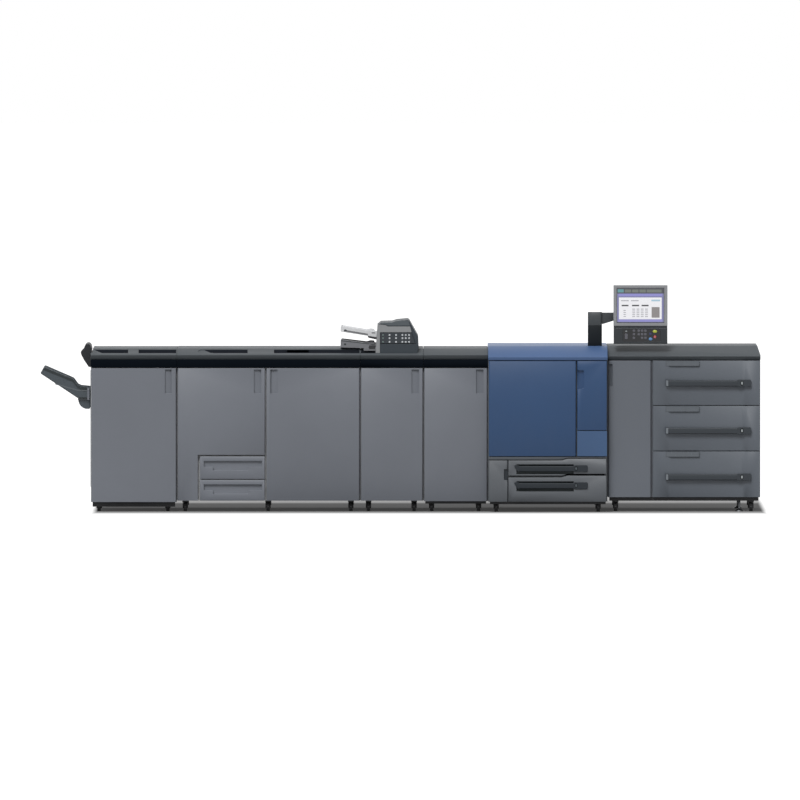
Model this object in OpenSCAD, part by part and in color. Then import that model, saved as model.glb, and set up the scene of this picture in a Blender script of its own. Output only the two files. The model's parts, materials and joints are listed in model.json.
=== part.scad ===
// Digital production press: a finisher, a two-door binding module, a folding module with a
// post inserter on its deck, a relay unit, the print engine and a paper feed unit in one line.
// x runs along the line from the stack tray to the paper feed unit, -y is the operator's side,
// z = 0 is the floor. Millimetres.

/* [Module widths] */
// Width of the finisher
finisher_w = 650; // [630:1:670]
// Width of the binding module with its two doors
binder_w = 1380; // [1360:1:1400]
// Width of the folding module
folder_w = 476; // [470:1:486]
// Width of the relay unit
relay_w = 486; // [480:1:496]
// Width of the print engine
engine_w = 900; // [890:1:910]
// Width of the paper feed unit
feeder_w = 1152; // [1140:1:1164]
// How far the stack tray reaches out from the finisher
tray_reach = 380; // [370:1:390]

/* [Depths] */
// Depth of the print engine, from its drawer handles to its back covers
engine_depth = 950; // [930:1:970]
// How far the engine's front stands out from the other modules
engine_proud = 103; // [95:1:110]
// Depth of the finisher, the folding module and the paper feed unit
module_depth = 723; // [710:1:735]
// Depth of the binding module
binder_depth = 775; // [760:1:780]
// Depth of the relay unit
relay_depth = 738; // [725:1:750]

/* [Heights] */
// Height of the print engine and the paper feed unit
engine_h = 1246; // [1240:1:1256]
// Height of the finishing modules
module_h = 1226; // [1218:1:1232]
// Height of the operation panel's top edge
panel_top = 1705; // [1690:1:1720]

/* [Doors and drawers] */
// Thickness of a door or a drawer front
door_t = 30; // [28:1:32]
// Gap between a closed door and the cabinet behind it
door_gap = 10; // [9:1:12]
// Gap left round each door
reveal = 5; // [5:0.5:6]
// Depth of the bay behind a door
bay_depth = 80; // [60:5:100]
// Reach of a drawer's box into its cabinet
drawer_reach = 560; // [500:10:600]

/* [Casters] */
// Radius of a caster wheel
wheel_r = 35; // [33:1:36]
// Width of one caster wheel
wheel_w = 26; // [22:1:30]

/* [Hidden] */
$fn = 48;

// Colours
grey = [0.44, 0.46, 0.49];
cover_grey = [0.45, 0.47, 0.49];
dark = [0.17, 0.19, 0.21];
black = [0.08, 0.09, 0.11];
blue = [0.26, 0.35, 0.49];
pale_blue = [0.40, 0.49, 0.62];
pale = [0.87, 0.88, 0.88];
inner = [0.62, 0.63, 0.62];

// Each module's left and right faces
line_w = tray_reach + finisher_w + binder_w + folder_w + relay_w + engine_w + feeder_w;
function next_to(xs, w) = [xs[1], xs[1] + w];
finisher_x = [tray_reach - line_w / 2, tray_reach - line_w / 2 + finisher_w];
binder_x = next_to(finisher_x, binder_w);
folder_x = next_to(binder_x, folder_w);
relay_x = next_to(folder_x, relay_w);
engine_x = next_to(relay_x, engine_w);
feeder_x = next_to(engine_x, feeder_w);

// Front and back faces
handle_out = 12;
engine_front = handle_out - engine_depth / 2;
engine_back = engine_depth / 2 - 6;
front = engine_front + engine_proud;
module_back = front + module_depth;
binder_back = front + binder_depth;
relay_back = front + relay_depth;
shell = door_t + door_gap;

// Levels of the finishing modules
cover_z = module_h - 80;
lip_z = module_h - 47;
band_z = module_h - 140;
door_top = band_z - reveal;
well_z = module_h - 28;
finisher_foot = 72;
module_foot = 83;
relay_foot = 79;

// Levels of the engine
engine_cover_z = engine_h - 102;
engine_door_top = engine_h - 108;
engine_split_z = 615;
engine_rail = [396, 416];
engine_foot = 79;
small_door_x = [engine_x[0] + reveal, engine_x[0] + 148];
engine_drawer_x = [engine_x[0] + 154, engine_x[1] - 11];
engine_split_x = engine_x[0] + 666;

// Levels of the paper feed unit
feeder_cover_z = engine_h - 102;
feeder_top = engine_h - 108;
feeder_foot = 109;
feeder_split_x = feeder_x[0] + 332;
feeder_drawer_x = [feeder_split_x + reveal + 3, feeder_x[1] - 2];
feeder_seams = [457, 800];

// Binding module's doors and drawers
binder_split_x = binder_x[0] + 669;
binder_drawer_x = [binder_x[0] + 169, binder_split_x - reveal];
binder_drawer_top = 420;
binder_drawer_split = 243;

// Points of an arc from angle a0 to a1
function arc(cx, cy, r, a0, a1, n = 4) =
    [for (i = [0:n]) let (a = a0 + (a1 - a0) * i / n) [cx + r * cos(a), cy + r * sin(a)]];

function grow(range, d) = [range[0] - d, range[1] + d];

// Rectangle with rounded corners
function rounded_plan(xs, ys, r) = concat(
    arc(xs[0] + r, ys[0] + r, r, 180, 270), arc(xs[1] - r, ys[0] + r, r, 270, 360),
    arc(xs[1] - r, ys[1] - r, r, 0, 90), arc(xs[0] + r, ys[1] - r, r, 90, 180)
);

// A box between two corners
module block(xs, ys, zs) {
    translate([xs[0], ys[0], zs[0]]) cube([xs[1] - xs[0], ys[1] - ys[0], zs[1] - zs[0]]);
}

// A front-view outline (x, z) run from front to back
module along_y(ys) {
    translate([0, ys[1], 0]) rotate([90, 0, 0]) linear_extrude(ys[1] - ys[0]) children();
}

// A side-view outline (y, z) run along the line
module along_x(xs) {
    translate([xs[0], 0, 0]) rotate([90, 0, 90]) linear_extrude(xs[1] - xs[0]) children();
}

// A plan outline (x, y) run upwards
module along_z(zs) {
    translate([0, 0, zs[0]]) linear_extrude(zs[1] - zs[0]) children();
}

// ---- Cabinets ----

// Cabinet behind a row of doors and drawers; its bays are the children
module cabinet(xs, ys, zs) {
    difference() {
        block(grow(xs, -1.5), [ys[0] + shell, ys[1]], zs);
        children();
    }
}

// Shallow bay behind a door, inside a frame of the given width
module door_bay(xs, y, zs, frame = 34) {
    block(grow(xs, -frame), [y + shell - 1, y + shell + bay_depth], grow(zs, -frame));
}

// Deep bay for a drawer's box
module drawer_bay(xs, y, zs) {
    block(grow(xs, -14), [y + shell - 1, y + door_t + drawer_reach + 16], grow(zs, -8));
}

// Top cover: a front lip, a slope and a flat deck that rounds over at the back
module top_cover(xs, y0, y1, bottom, lip, top, run) {
    along_x(xs) polygon(concat(
        [[y0, bottom], [y1, bottom]],
        arc(y1 - 14, top - 14, 14, 0, 90),
        [[y0 + run, top], [y0 + run - 10, top - 3], [y0 + 2, lip + 2], [y0, lip]]
    ));
}

cover_run = 120;
// Front and back of the shallow wells in the covers, on the slope and the deck
well_y = [front + 52, front + 430];

// Well in a cover's deck, open to the front where the slope falls below its floor
module well(xs, z) {
    block(xs, [front + 20, well_y[1]], [z, module_h + 20]);
}

// ---- Finisher ----

finisher_wells = [
    [finisher_x[0] + 58, finisher_x[0] + 282],
    [finisher_x[0] + 361, finisher_x[1] - 6]
];

module finisher_cabinet() color(grey)
    cabinet(finisher_x, [front, module_back], [finisher_foot, cover_z])
        door_bay(finisher_x, front, [finisher_foot, door_top]);

module finisher_top_cover() color(cover_grey) difference() {
    top_cover(finisher_x + [16, -1], front, module_back, cover_z, lip_z, module_h, cover_run);
    for (xs = finisher_wells) well(xs, well_z);
}

// Rounded exit unit on the finisher's left side, above the stack tray
module finisher_exit_unit() color(black)
    along_y([-235, 235]) polygon(concat(
        [[finisher_x[0] + 1.5, band_z - 1], [finisher_x[0] + 1.5, cover_z]],
        [[finisher_x[0] - 2, 1240]],
        arc(finisher_x[0] - 24, 1246, 18, 10, 160),
        [[finisher_x[0] - 52, 1222], [finisher_x[0] - 58, 1204], [finisher_x[0] - 76, 1192]],
        [[finisher_x[0] - 74, 1168], [finisher_x[0] - 56, 1128], [finisher_x[0] - 22, 1090]]
    ));

// ---- Stack tray ----

// Vertical rails that carry the stack tray on the finisher's side
rail_y = [-150, 150];
module tray_rails() color(dark)
    for (y = rail_y)
        block([finisher_x[0] - 4, finisher_x[0] + 1.5], [y - 22, y + 22], [180, 1060]);

tray_y = [-205, 205];
tray_x = finisher_x[0] - 10;
// Side outline of the stack tray, from its tip to its root
tray_outline = [
    [tray_x - 337, 1103], [tray_x - 370, 1048], [tray_x - 84, 857], [tray_x, 857],
    [tray_x, 950], [tray_x - 73, 962], [tray_x - 126, 1009]
];
module stack_tray() {
    color(dark) difference() {
        along_y(tray_y) polygon(tray_outline);
        // Hollow underside between the two side walls
        along_y([tray_y[0] + 14, tray_y[1] - 14]) polygon([
            [tray_x - 340, 1050], [tray_x - 366, 1030], [tray_x - 84, 840], [tray_x - 14, 840],
            [tray_x - 14, 932], [tray_x - 78, 944], [tray_x - 134, 986]
        ]);
    }
    // Shoes that run on the rails
    color(dark) for (y = rail_y) block([tray_x, finisher_x[0] - 4.5], [y - 20, y + 20], [790, 940]);
    // Carriage below the root
    color(dark) along_y([tray_y[0] + 30, tray_y[1] - 30]) polygon([
        [tray_x - 14, 776], [tray_x - 40, 786], [tray_x - 84, 838], [tray_x - 84, 857],
        [tray_x - 0, 857], [tray_x - 0, 776]
    ]);
}

// ---- Binding module ----

binder_wells = [
    [binder_x[0] + 155, binder_x[0] + 532],
    [binder_x[0] + 728, binder_x[1] - 6]
];

module binder_cabinet() color(grey)
    cabinet(binder_x, [front, binder_back], [module_foot, cover_z]) {
        door_bay([binder_x[0], binder_split_x], front, [binder_drawer_top, door_top]);
        door_bay([binder_split_x, binder_x[1]], front, [module_foot, door_top]);
        drawer_bay(binder_drawer_x, front, [binder_drawer_split, binder_drawer_top]);
        drawer_bay(binder_drawer_x, front, [module_foot, binder_drawer_split]);
    }

module binder_top_cover() color(cover_grey) difference() {
    top_cover(grow(binder_x, -1), front, binder_back, cover_z, lip_z, module_h, cover_run);
    for (xs = binder_wells) well(xs, well_z);
}

// ---- Folding module and relay unit ----

folder_wells = [[folder_x[0] + 6, folder_x[0] + 116]];

module folder_cabinet() color(grey)
    cabinet(folder_x, [front, module_back], [module_foot, cover_z])
        door_bay(folder_x, front, [module_foot, door_top]);

module folder_top_cover() color(cover_grey) difference() {
    top_cover(grow(folder_x, -1), front, module_back, cover_z, lip_z, module_h, cover_run);
    for (xs = folder_wells) well(xs, well_z);
}

module relay_cabinet() color(grey)
    cabinet(relay_x, [front, relay_back], [relay_foot, cover_z])
        door_bay(relay_x, front, [relay_foot, door_top]);

module relay_top_cover() color(cover_grey)
    top_cover(grow(relay_x, -1), front, relay_back, cover_z, lip_z, module_h, cover_run);

// Dark linings on the floor and back wall of each well
lining = 3;
module cover_wells() color(black)
    for (xs = concat(finisher_wells, binder_wells, folder_wells)) {
        block(xs, well_y, [well_z, well_z + lining]);
        block(xs, [well_y[1] - lining, well_y[1]], [well_z + lining, module_h - 1]);
    }

// Black band under the covers of the finishing modules
module trim_bands() color(black)
    for (xs = [finisher_x, binder_x, folder_x, relay_x])
        block(grow(xs, -1), [front + 3, front + shell], [band_z, cover_z]);

// ---- Post inserter on the folding module ----

ins_x = folder_x[0] + 121;
ins_y = [front + 36, front + 560];
ins_z = module_h;
module inserter_body() color(grey) difference() {
    along_y(ins_y) polygon(concat(
        [[ins_x, ins_z - 34], [ins_x, ins_z + 196]],
        arc(ins_x + 30, ins_z + 191, 29, 170, 95, 3),
        [[ins_x + 117, ins_z + 216], [ins_x + 143, ins_z + 229]],
        [[ins_x + 243, ins_z + 230], [ins_x + 269, ins_z + 194], [ins_x + 304, ins_z + 110]],
        [[ins_x + 313, ins_z + 18], [ins_x + 313, ins_z - 34]]
    ));
    // Seat on the cover's slope and deck
    along_x([ins_x - 5, ins_x + 320]) polygon([
        [front - 10, ins_z - 60], [front + 1000, ins_z - 60], [front + 1000, ins_z],
        [front + cover_run, ins_z], [front + cover_run - 10, ins_z - 3], [front + 2, lip_z + 2],
        [front - 10, lip_z]
    ]);
    // Rebate for the button panel
    block([ins_x + 27, ins_x + 262], [ins_y[0] - 1, ins_y[0] + 8], [ins_z + 40, ins_z + 122]);
}

module inserter_button_panel() color(dark)
    block([ins_x + 28, ins_x + 261], [ins_y[0], ins_y[0] + 8], [ins_z + 41, ins_z + 121]);

// Inclined feed tray: deck with a raised front rail, from (x0, z0) down to (x1, z1)
module feed_tray(x0, z0, x1, z1, t, ys) {
    along_y(ys) polygon([[x0, z0 - t], [x1, z1 - t], [x1, z1], [x0, z0]]);
}

module inserter_upper_tray() color(pale)
    feed_tray(ins_x - 269, ins_z + 160, ins_x, ins_z + 112, 26, [ins_y[0] + 60, ins_y[1] - 100]);

module inserter_lower_tray() color(inner)
    feed_tray(ins_x - 273, ins_z + 66, ins_x, ins_z + 28, 26, [ins_y[0] + 40, ins_y[1] - 80]);

// ---- Print engine ----

module engine_cabinet() color(grey)
    cabinet(engine_x, [engine_front, engine_back], [engine_foot, engine_cover_z]) {
        door_bay([engine_x[0], engine_split_x], engine_front, [engine_rail[1], engine_door_top]);
        door_bay([engine_split_x, engine_x[1]], engine_front, [engine_split_z, engine_door_top]);
        door_bay(small_door_x, engine_front, [engine_foot, engine_rail[0]], 20);
        drawer_bay(engine_drawer_x, engine_front, [270, engine_rail[0]]);
        drawer_bay(engine_drawer_x, engine_front, [engine_foot, 268]);
    }

module engine_top_cover() color(pale_blue)
    top_cover(grow(engine_x, -1), engine_front, engine_back, engine_cover_z,
              engine_h - 79, engine_h, 150);

// Grey rail under the blue doors, thinner over the right of the upper drawer
rail_step_x = [engine_x[0] + 553, engine_x[0] + 599];
module engine_cross_rail() color(grey)
    along_y([engine_front + 1, engine_front + shell]) polygon([
        [engine_x[0] + 2, engine_rail[0]], [rail_step_x[0], engine_rail[0]],
        [rail_step_x[1], engine_rail[1] - 5], [engine_x[1] - 2, engine_rail[1] - 5],
        [engine_x[1] - 2, engine_rail[1]], [engine_x[0] + 2, engine_rail[1]]
    ]);

module engine_lower_panel() color(blue)
    block([engine_split_x + reveal, engine_x[1] - reveal], [engine_front, engine_front + shell],
          [engine_rail[1] + 6, engine_split_z - 3]);

// ---- Operation panel ----

column_x = [engine_x[0] + 753, engine_x[0] + 859];
column_y = [engine_front + 185, engine_front + 300];
column_top = 1500;
swivel_x = (column_x[0] + column_x[1]) / 2;
swivel_y = (column_y[0] + column_y[1]) / 2;
module panel_column() color(dark)
    along_z([engine_h, column_top - 98]) polygon(rounded_plan(column_x, column_y, 16));

screen_x = [engine_x[1] + 45, engine_x[1] + 452];
screen_y = [engine_front + 120, engine_front + 165];
// Tilt pivot behind the screen: a knuckle on the arm between two cheeks on the screen
tilt_y = screen_y[1] + 26;
tilt_z = 1470;
tilt_r = 20;
knuckle_x = [screen_x[0] + 67, screen_x[0] + 123];
cheek_t = 12;
beam_y = [tilt_y + tilt_r + 6, tilt_y + tilt_r + 46];

// Arm: a cap that turns on the column, a beam and the knuckle behind the screen
module panel_arm() color(dark) {
    along_z([column_top - 98, column_top]) polygon(rounded_plan(column_x, column_y, 16));
    along_y(beam_y) polygon([
        [column_x[1] - 20, column_top - 90], [column_x[1] + 6, column_top - 90],
        [column_x[1] + 90, column_top - 64], [knuckle_x[1], column_top - 60],
        [knuckle_x[1], column_top - 4], [column_x[1] - 20, column_top - 4]
    ]);
    block(knuckle_x, [tilt_y, beam_y[0] + 5], [tilt_z - 16, tilt_z + 16]);
    along_x(knuckle_x) translate([tilt_y, tilt_z]) circle(r = tilt_r);
}

// Screen housing with its display set back in the bezel, and the pivot's two cheeks
module screen_housing() color(grey) {
    difference() {
        block(screen_x, screen_y, [panel_top - 305, panel_top]);
        block([screen_x[0] + 23, screen_x[1] - 25], [screen_y[0] - 1, screen_y[0] + 4],
              [panel_top - 284, panel_top - 19]);
    }
    for (xs = [[knuckle_x[0] - cheek_t, knuckle_x[0]], [knuckle_x[1], knuckle_x[1] + cheek_t]])
        along_x(xs) {
            translate([tilt_y, tilt_z]) circle(r = tilt_r);
            translate([screen_y[1] - 1, tilt_z - tilt_r])
                square([tilt_y - screen_y[1] + 1, tilt_r * 2]);
        }
}

module panel_keypad() color(black)
    along_x(grow(screen_x, -1)) polygon([
        [screen_y[0] + 4, panel_top - 305], [screen_y[0] + 4, panel_top - 326],
        [screen_y[0] - 22, panel_top - 330], [screen_y[0] - 22, panel_top - 434],
        [screen_y[0] - 8, panel_top - 441], [screen_y[1] - 8, panel_top - 441],
        [screen_y[1], panel_top - 425], [screen_y[1], panel_top - 305]
    ]);

// ---- Paper feed unit ----

module feeder_cabinet() color(grey)
    cabinet(feeder_x, [front, module_back], [feeder_foot, feeder_cover_z]) {
        door_bay([feeder_x[0], feeder_split_x], front, [feeder_foot, feeder_top]);
        for (zs = [[feeder_foot, feeder_seams[0]], feeder_seams, [feeder_seams[1], feeder_top]])
            drawer_bay(feeder_drawer_x, front, zs);
    }

// Cover with its right end sloping in
module feeder_top_cover() color(cover_grey) difference() {
    top_cover([feeder_x[0] + 1, feeder_x[1]], front, module_back, feeder_cover_z,
              engine_h - 76, engine_h, 150);
    along_y([front - 10, module_back + 10]) polygon([
        [feeder_x[1] - 35, engine_h + 1], [feeder_x[1] + 1, engine_h - 87],
        [feeder_x[1] + 1, engine_h + 1]
    ]);
}

// ---- Backs and feet ----

// Louvred vent plate on a back cover
module vent(xs, y, zs) {
    block(xs, [y, y + 3], zs);
    for (z = [zs[0] + 14:22:zs[1] - 14])
        along_x(grow(xs, -10)) polygon([[y + 3, z], [y + 6, z], [y + 3, z + 12]]);
}

module rear_vents() color(dark) {
    vent([engine_x[0] + 90, engine_x[0] + 390], engine_back, [760, 1000]);
    vent([engine_x[0] + 520, engine_x[0] + 820], engine_back, [180, 330]);
    vent([feeder_x[0] + 120, feeder_x[0] + 420], module_back, [180, 330]);
    vent([relay_x[0] + 120, relay_x[0] + 366], relay_back, [840, 960]);
    vent([binder_x[0] + 160, binder_x[0] + 460], binder_back, [840, 960]);
}

// Each module's footprint and the height of its underside
footprints = [
    [finisher_x, [front, module_back], finisher_foot],
    [binder_x, [front, binder_back], module_foot],
    [folder_x, [front, module_back], module_foot],
    [relay_x, [front, relay_back], relay_foot],
    [engine_x, [engine_front, engine_back], engine_foot],
    [feeder_x, [front, module_back], feeder_foot]
];
skirt_h = 20;
fork_gap = 1;
module base_skirts() color(black)
    for (f = footprints) {
        xs = grow(f[0], -14);
        zs = [f[2] - skirt_h, f[2]];
        block(xs, [f[1][0] + shell + 4, f[1][0] + shell + 14], zs);
        block(xs, [f[1][1] - 14, f[1][1] - 4], zs);
    }

// Casters: distance along the line, front and back rows, and the underside they hang from
function caster_spots() = [
    for (f = footprints)
        let (n = f[0] == binder_x ? 3 : 2, x0 = f[0][0] + 62, x1 = f[0][1] - 70)
        for (i = [0:n - 1], y = [f[1][0] + shell + 58, f[1][1] - 62])
            [x0 + (x1 - x0) * i / (n - 1), y, f[2]]
];

module caster_wheels() color(black)
    for (c = caster_spots())
        translate([c[0], c[1], wheel_r]) rotate([0, 90, 0]) {
            cylinder(r = wheel_r, h = wheel_w, center = true);
            cylinder(r = 10, h = wheel_w + 2 * fork_gap, center = true);
        }

// Top plate and two fork legs over each wheel
module caster_housings() color(dark)
    for (c = caster_spots()) translate([c[0], c[1], 0]) {
        block([-22, 22], [-24, 24], [wheel_r * 2 + 1, c[2]]);
        for (s = [-1, 1])
            translate([s * (wheel_w / 2 + fork_gap + 3) - 3, 0, 0])
                block([0, 6], [-14, 14], [wheel_r - 12, wheel_r * 2 + 1]);
    }

// Screw feet beside the paper feed unit's outer casters
foot_spots = [
    [feeder_x[1] - 158, front + shell + 60, feeder_foot],
    [feeder_x[1] - 158, module_back - 62, feeder_foot]
];
module adjuster_feet() color(dark)
    for (f = foot_spots) translate([f[0], f[1], 0]) {
        cylinder(r1 = 34, r2 = 30, h = 8);
        translate([0, 0, 8]) cylinder(r1 = 28, r2 = 9, h = 14);
        translate([0, 0, 22]) cylinder(r = 9, h = f[2] - 22);
    }

// ---- Doors ----

// Door panel with rounded upright edges
module door_panel(xs, y, zs, r = 10, rb = 6) {
    along_z(zs) polygon(concat(
        arc(xs[0] + r, y + r, r, 180, 270),
        arc(xs[1] - r, y + r, r, 270, 360),
        arc(xs[1] - rb, y + door_t - rb, rb, 0, 90, 2),
        arc(xs[0] + rb, y + door_t - rb, rb, 90, 180, 2)
    ));
}

// Finger pocket whose floor slopes down towards the side named by deep (0 left, 1 right)
module pocket(xs, y, zs, deep) {
    shallow_d = 14;
    deep_d = 21;
    along_z(zs) polygon([
        [xs[0], y - 1], [xs[1], y - 1],
        [xs[1], y + (deep == 1 ? deep_d : shallow_d)], [xs[0], y + (deep == 0 ? deep_d : shallow_d)]
    ]);
}

pocket_w = 54;
pocket_h = 180;
pocket_in = 30;

module hinged_door(xs, y, zs, deep, h = pocket_h) {
    px = deep == 1 ? [xs[1] - pocket_in - pocket_w, xs[1] - pocket_in]
                   : [xs[0] + pocket_in, xs[0] + pocket_in + pocket_w];
    difference() {
        door_panel(xs, y, zs);
        pocket(px, y, [zs[1] - 10 - h, zs[1] - 10], deep);
    }
}

module finisher_door() color(grey)
    hinged_door(grow(finisher_x, -reveal), front, [finisher_foot, door_top], 1, 120);

// Door cut away round the two drawers in its lower right corner
module binder_left_door() color(grey) difference() {
    hinged_door([binder_x[0] + reveal, binder_split_x - reveal], front,
                [module_foot, door_top], 1);
    block([binder_drawer_x[0] - 12, binder_split_x + 10], [front - 10, front + 100],
          [module_foot - 10, binder_drawer_top + 8]);
}

module binder_right_door() color(grey)
    hinged_door([binder_split_x + reveal, binder_x[1] - reveal], front,
                [module_foot, door_top], 0);

module folder_door() color(grey)
    hinged_door(grow(folder_x, -reveal), front, [module_foot, door_top], 1);

module relay_door() color(grey)
    hinged_door(grow(relay_x, -reveal), front, [relay_foot, door_top], 1);

module engine_left_door() color(blue)
    door_panel([engine_x[0] + reveal, engine_split_x - 4], engine_front,
               [engine_rail[1] + 6, engine_door_top]);

// Door with a trapezoid grip cut into its free edge
module engine_right_door() color(blue) difference() {
    door_panel([engine_split_x + 4, engine_x[1] - reveal], engine_front,
               [engine_split_z + 3, engine_door_top]);
    along_y([engine_front - 1, engine_front + 20]) polygon([
        [engine_split_x, engine_door_top - 70], [engine_split_x + 54, engine_door_top - 70],
        [engine_split_x + 54, engine_door_top - 204], [engine_split_x, engine_door_top - 217]
    ]);
}

module engine_small_door() color(grey) difference() {
    door_panel(small_door_x, engine_front, [engine_foot, engine_rail[0] - 6]);
    block([small_door_x[1] - 28, small_door_x[1] + 5], [engine_front - 1, engine_front + 18],
          [engine_rail[0] - 154, engine_rail[0] - 72]);
}

module feeder_door() color(grey)
    hinged_door([feeder_x[0] + reveal, feeder_split_x - reveal], front,
                [feeder_foot, feeder_top], 0, 168);

// ---- Drawers ----

// Open box behind a drawer front
drawer_wall = 6;
module drawer_box(xs, y, zs) {
    difference() {
        block(xs, [y + door_t, y + drawer_reach], zs);
        block(grow(xs, -drawer_wall), [y + door_t + drawer_wall, y + drawer_reach - drawer_wall],
              [zs[0] + drawer_wall, zs[1] + 10]);
    }
}

// Small drawer of the binding module: the grip is a stepped recess in its front
module binder_drawer(zs) {
    grip = [zs[1] - 80, zs[1] - 35];
    mid = (binder_drawer_x[0] + binder_drawer_x[1]) / 2 - 12;
    difference() {
        block(binder_drawer_x + [4, -4], [front + 1, front + door_t], zs);
        block(binder_drawer_x + [34, -24], [front - 1, front + 20], grip);
        block([mid - 132, mid + 132], [front - 1, front + 20], [grip[0] - 26, grip[0] + 1]);
    }
    drawer_box(grow(binder_drawer_x, -22), front, zs + [16, -16]);
}

module binder_upper_drawer() color(grey)
    binder_drawer([binder_drawer_split + 3, binder_drawer_top - 3]);

module binder_lower_drawer() color(grey)
    binder_drawer([module_foot, binder_drawer_split - 3]);

// Bar handle standing off a drawer front, with a foot at its left end and a block at its right
module bar_handle(xs, y, out, zs, t) {
    block([xs[0], xs[0] + handle_foot], [y - out, y], zs);
    block([xs[1] - handle_block, xs[1]], [y - out, y], zs);
    block([xs[0] + 10, xs[1] - handle_block + 10], [y - out, y - out + t], [zs[0] + 6, zs[1] - 6]);
}
handle_foot = 16;
handle_block = 105;

engine_handle_x = [engine_x[0] + 198, engine_x[0] + 750];
engine_upper_grip = [298, 348];
engine_lower_grip = [168, 220];
// Finger room behind the engine's handles
engine_grip_d = 20;

// Engine drawer: its front's lower and upper edges step up towards the right
module engine_drawer(z0, z1, step0, step1, grip) {
    difference() {
        along_y([engine_front + 1, engine_front + door_t]) polygon([
            [engine_drawer_x[0], z0], [rail_step_x[0], z0], [rail_step_x[1], z0 + step0],
            [engine_drawer_x[1], z0 + step0], [engine_drawer_x[1], z1 + step1],
            [rail_step_x[1], z1 + step1], [rail_step_x[0], z1], [engine_drawer_x[0], z1]
        ]);
        block(engine_handle_x + [handle_foot, -handle_block],
              [engine_front, engine_front + 1 + engine_grip_d], grow(grip, 12));
    }
    drawer_box(grow(engine_drawer_x, -22), engine_front, [z0 + 18, z1 - 14]);
}

module engine_upper_drawer() color(grey)
    engine_drawer(276, engine_rail[0] - 6, 13, 13, engine_upper_grip);
module engine_lower_drawer() color(grey)
    engine_drawer(engine_foot, 262, 0, 13, engine_lower_grip);

module engine_upper_handle() color(black)
    bar_handle(engine_handle_x, engine_front + 1, handle_out + 1, engine_upper_grip, 10);
module engine_lower_handle() color(black)
    bar_handle(engine_handle_x, engine_front + 1, handle_out + 1, engine_lower_grip, 10);

// Feeder drawer: the front dips in a wide shallow scoop between two raised sides
scoop_x = [feeder_drawer_x[0] + 130, feeder_drawer_x[1] - 110];
scoop_d = 12;
module feeder_drawer(zs) {
    along_z(zs) polygon([
        [feeder_drawer_x[0], front + 4], [feeder_drawer_x[0] + 4, front],
        [scoop_x[0] - 16, front], [scoop_x[0] + 8, front + scoop_d],
        [scoop_x[1] - 30, front + scoop_d], [scoop_x[1], front],
        [feeder_drawer_x[1] - 4, front], [feeder_drawer_x[1], front + 4],
        [feeder_drawer_x[1], front + door_t], [feeder_drawer_x[0], front + door_t]
    ]);
    drawer_box(grow(feeder_drawer_x, -22), front, zs + [18, -18]);
}

module feeder_top_drawer() color(grey) feeder_drawer([feeder_seams[1] + 3, feeder_top]);
module feeder_middle_drawer() color(grey) feeder_drawer(feeder_seams + [3, -3]);
module feeder_bottom_drawer() color(grey) feeder_drawer([feeder_foot, feeder_seams[0] - 3]);

feeder_handle_x = [scoop_x[0] - 32, scoop_x[1] + 40];
module feeder_handle(top) {
    bar_handle(feeder_handle_x, front, 26, [top - 198, top - 130], 14);
}
module feeder_top_handle() color(black) feeder_handle(feeder_top);
module feeder_middle_handle() color(black) feeder_handle(feeder_seams[1] - 20);
module feeder_bottom_handle() color(black) feeder_handle(feeder_seams[0] - 20);

finisher_cabinet();
finisher_top_cover();
finisher_exit_unit();
tray_rails();
binder_cabinet();
binder_top_cover();
folder_cabinet();
folder_top_cover();
relay_cabinet();
relay_top_cover();
cover_wells();
trim_bands();
inserter_body();
inserter_button_panel();
inserter_upper_tray();
inserter_lower_tray();
engine_cabinet();
engine_top_cover();
engine_cross_rail();
engine_lower_panel();
panel_column();
feeder_cabinet();
feeder_top_cover();
rear_vents();
base_skirts();
caster_housings();
caster_wheels();
adjuster_feet();
finisher_door();
binder_left_door();
binder_right_door();
folder_door();
relay_door();
engine_left_door();
engine_right_door();
engine_small_door();
feeder_door();
binder_upper_drawer();
binder_lower_drawer();
engine_upper_drawer();
engine_upper_handle();
engine_lower_drawer();
engine_lower_handle();
feeder_top_drawer();
feeder_top_handle();
feeder_middle_drawer();
feeder_middle_handle();
feeder_bottom_drawer();
feeder_bottom_handle();
stack_tray();
panel_arm();
screen_housing();
panel_keypad();
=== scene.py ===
import json
import math
from collections import namedtuple

import bmesh
import bpy
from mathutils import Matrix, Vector


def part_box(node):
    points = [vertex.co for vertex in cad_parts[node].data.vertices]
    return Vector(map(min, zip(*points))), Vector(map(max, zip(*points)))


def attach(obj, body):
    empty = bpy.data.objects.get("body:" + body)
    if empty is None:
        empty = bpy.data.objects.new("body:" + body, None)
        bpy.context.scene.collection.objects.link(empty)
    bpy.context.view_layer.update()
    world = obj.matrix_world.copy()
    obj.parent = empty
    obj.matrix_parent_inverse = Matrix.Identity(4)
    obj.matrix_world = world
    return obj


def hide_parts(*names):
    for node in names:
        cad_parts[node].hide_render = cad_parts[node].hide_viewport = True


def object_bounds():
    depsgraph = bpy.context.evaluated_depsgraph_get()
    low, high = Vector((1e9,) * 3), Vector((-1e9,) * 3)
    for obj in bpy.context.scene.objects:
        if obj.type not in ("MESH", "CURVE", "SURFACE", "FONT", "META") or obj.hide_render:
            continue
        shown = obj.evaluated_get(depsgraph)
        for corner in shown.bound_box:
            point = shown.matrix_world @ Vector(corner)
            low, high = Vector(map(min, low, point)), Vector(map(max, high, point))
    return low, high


# Looks of the digital production press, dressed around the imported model.
# In the row's frame: x along the line, -y towards the operator, z up. Metres, but for the
# pieces, which are given in millimetres.

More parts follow.
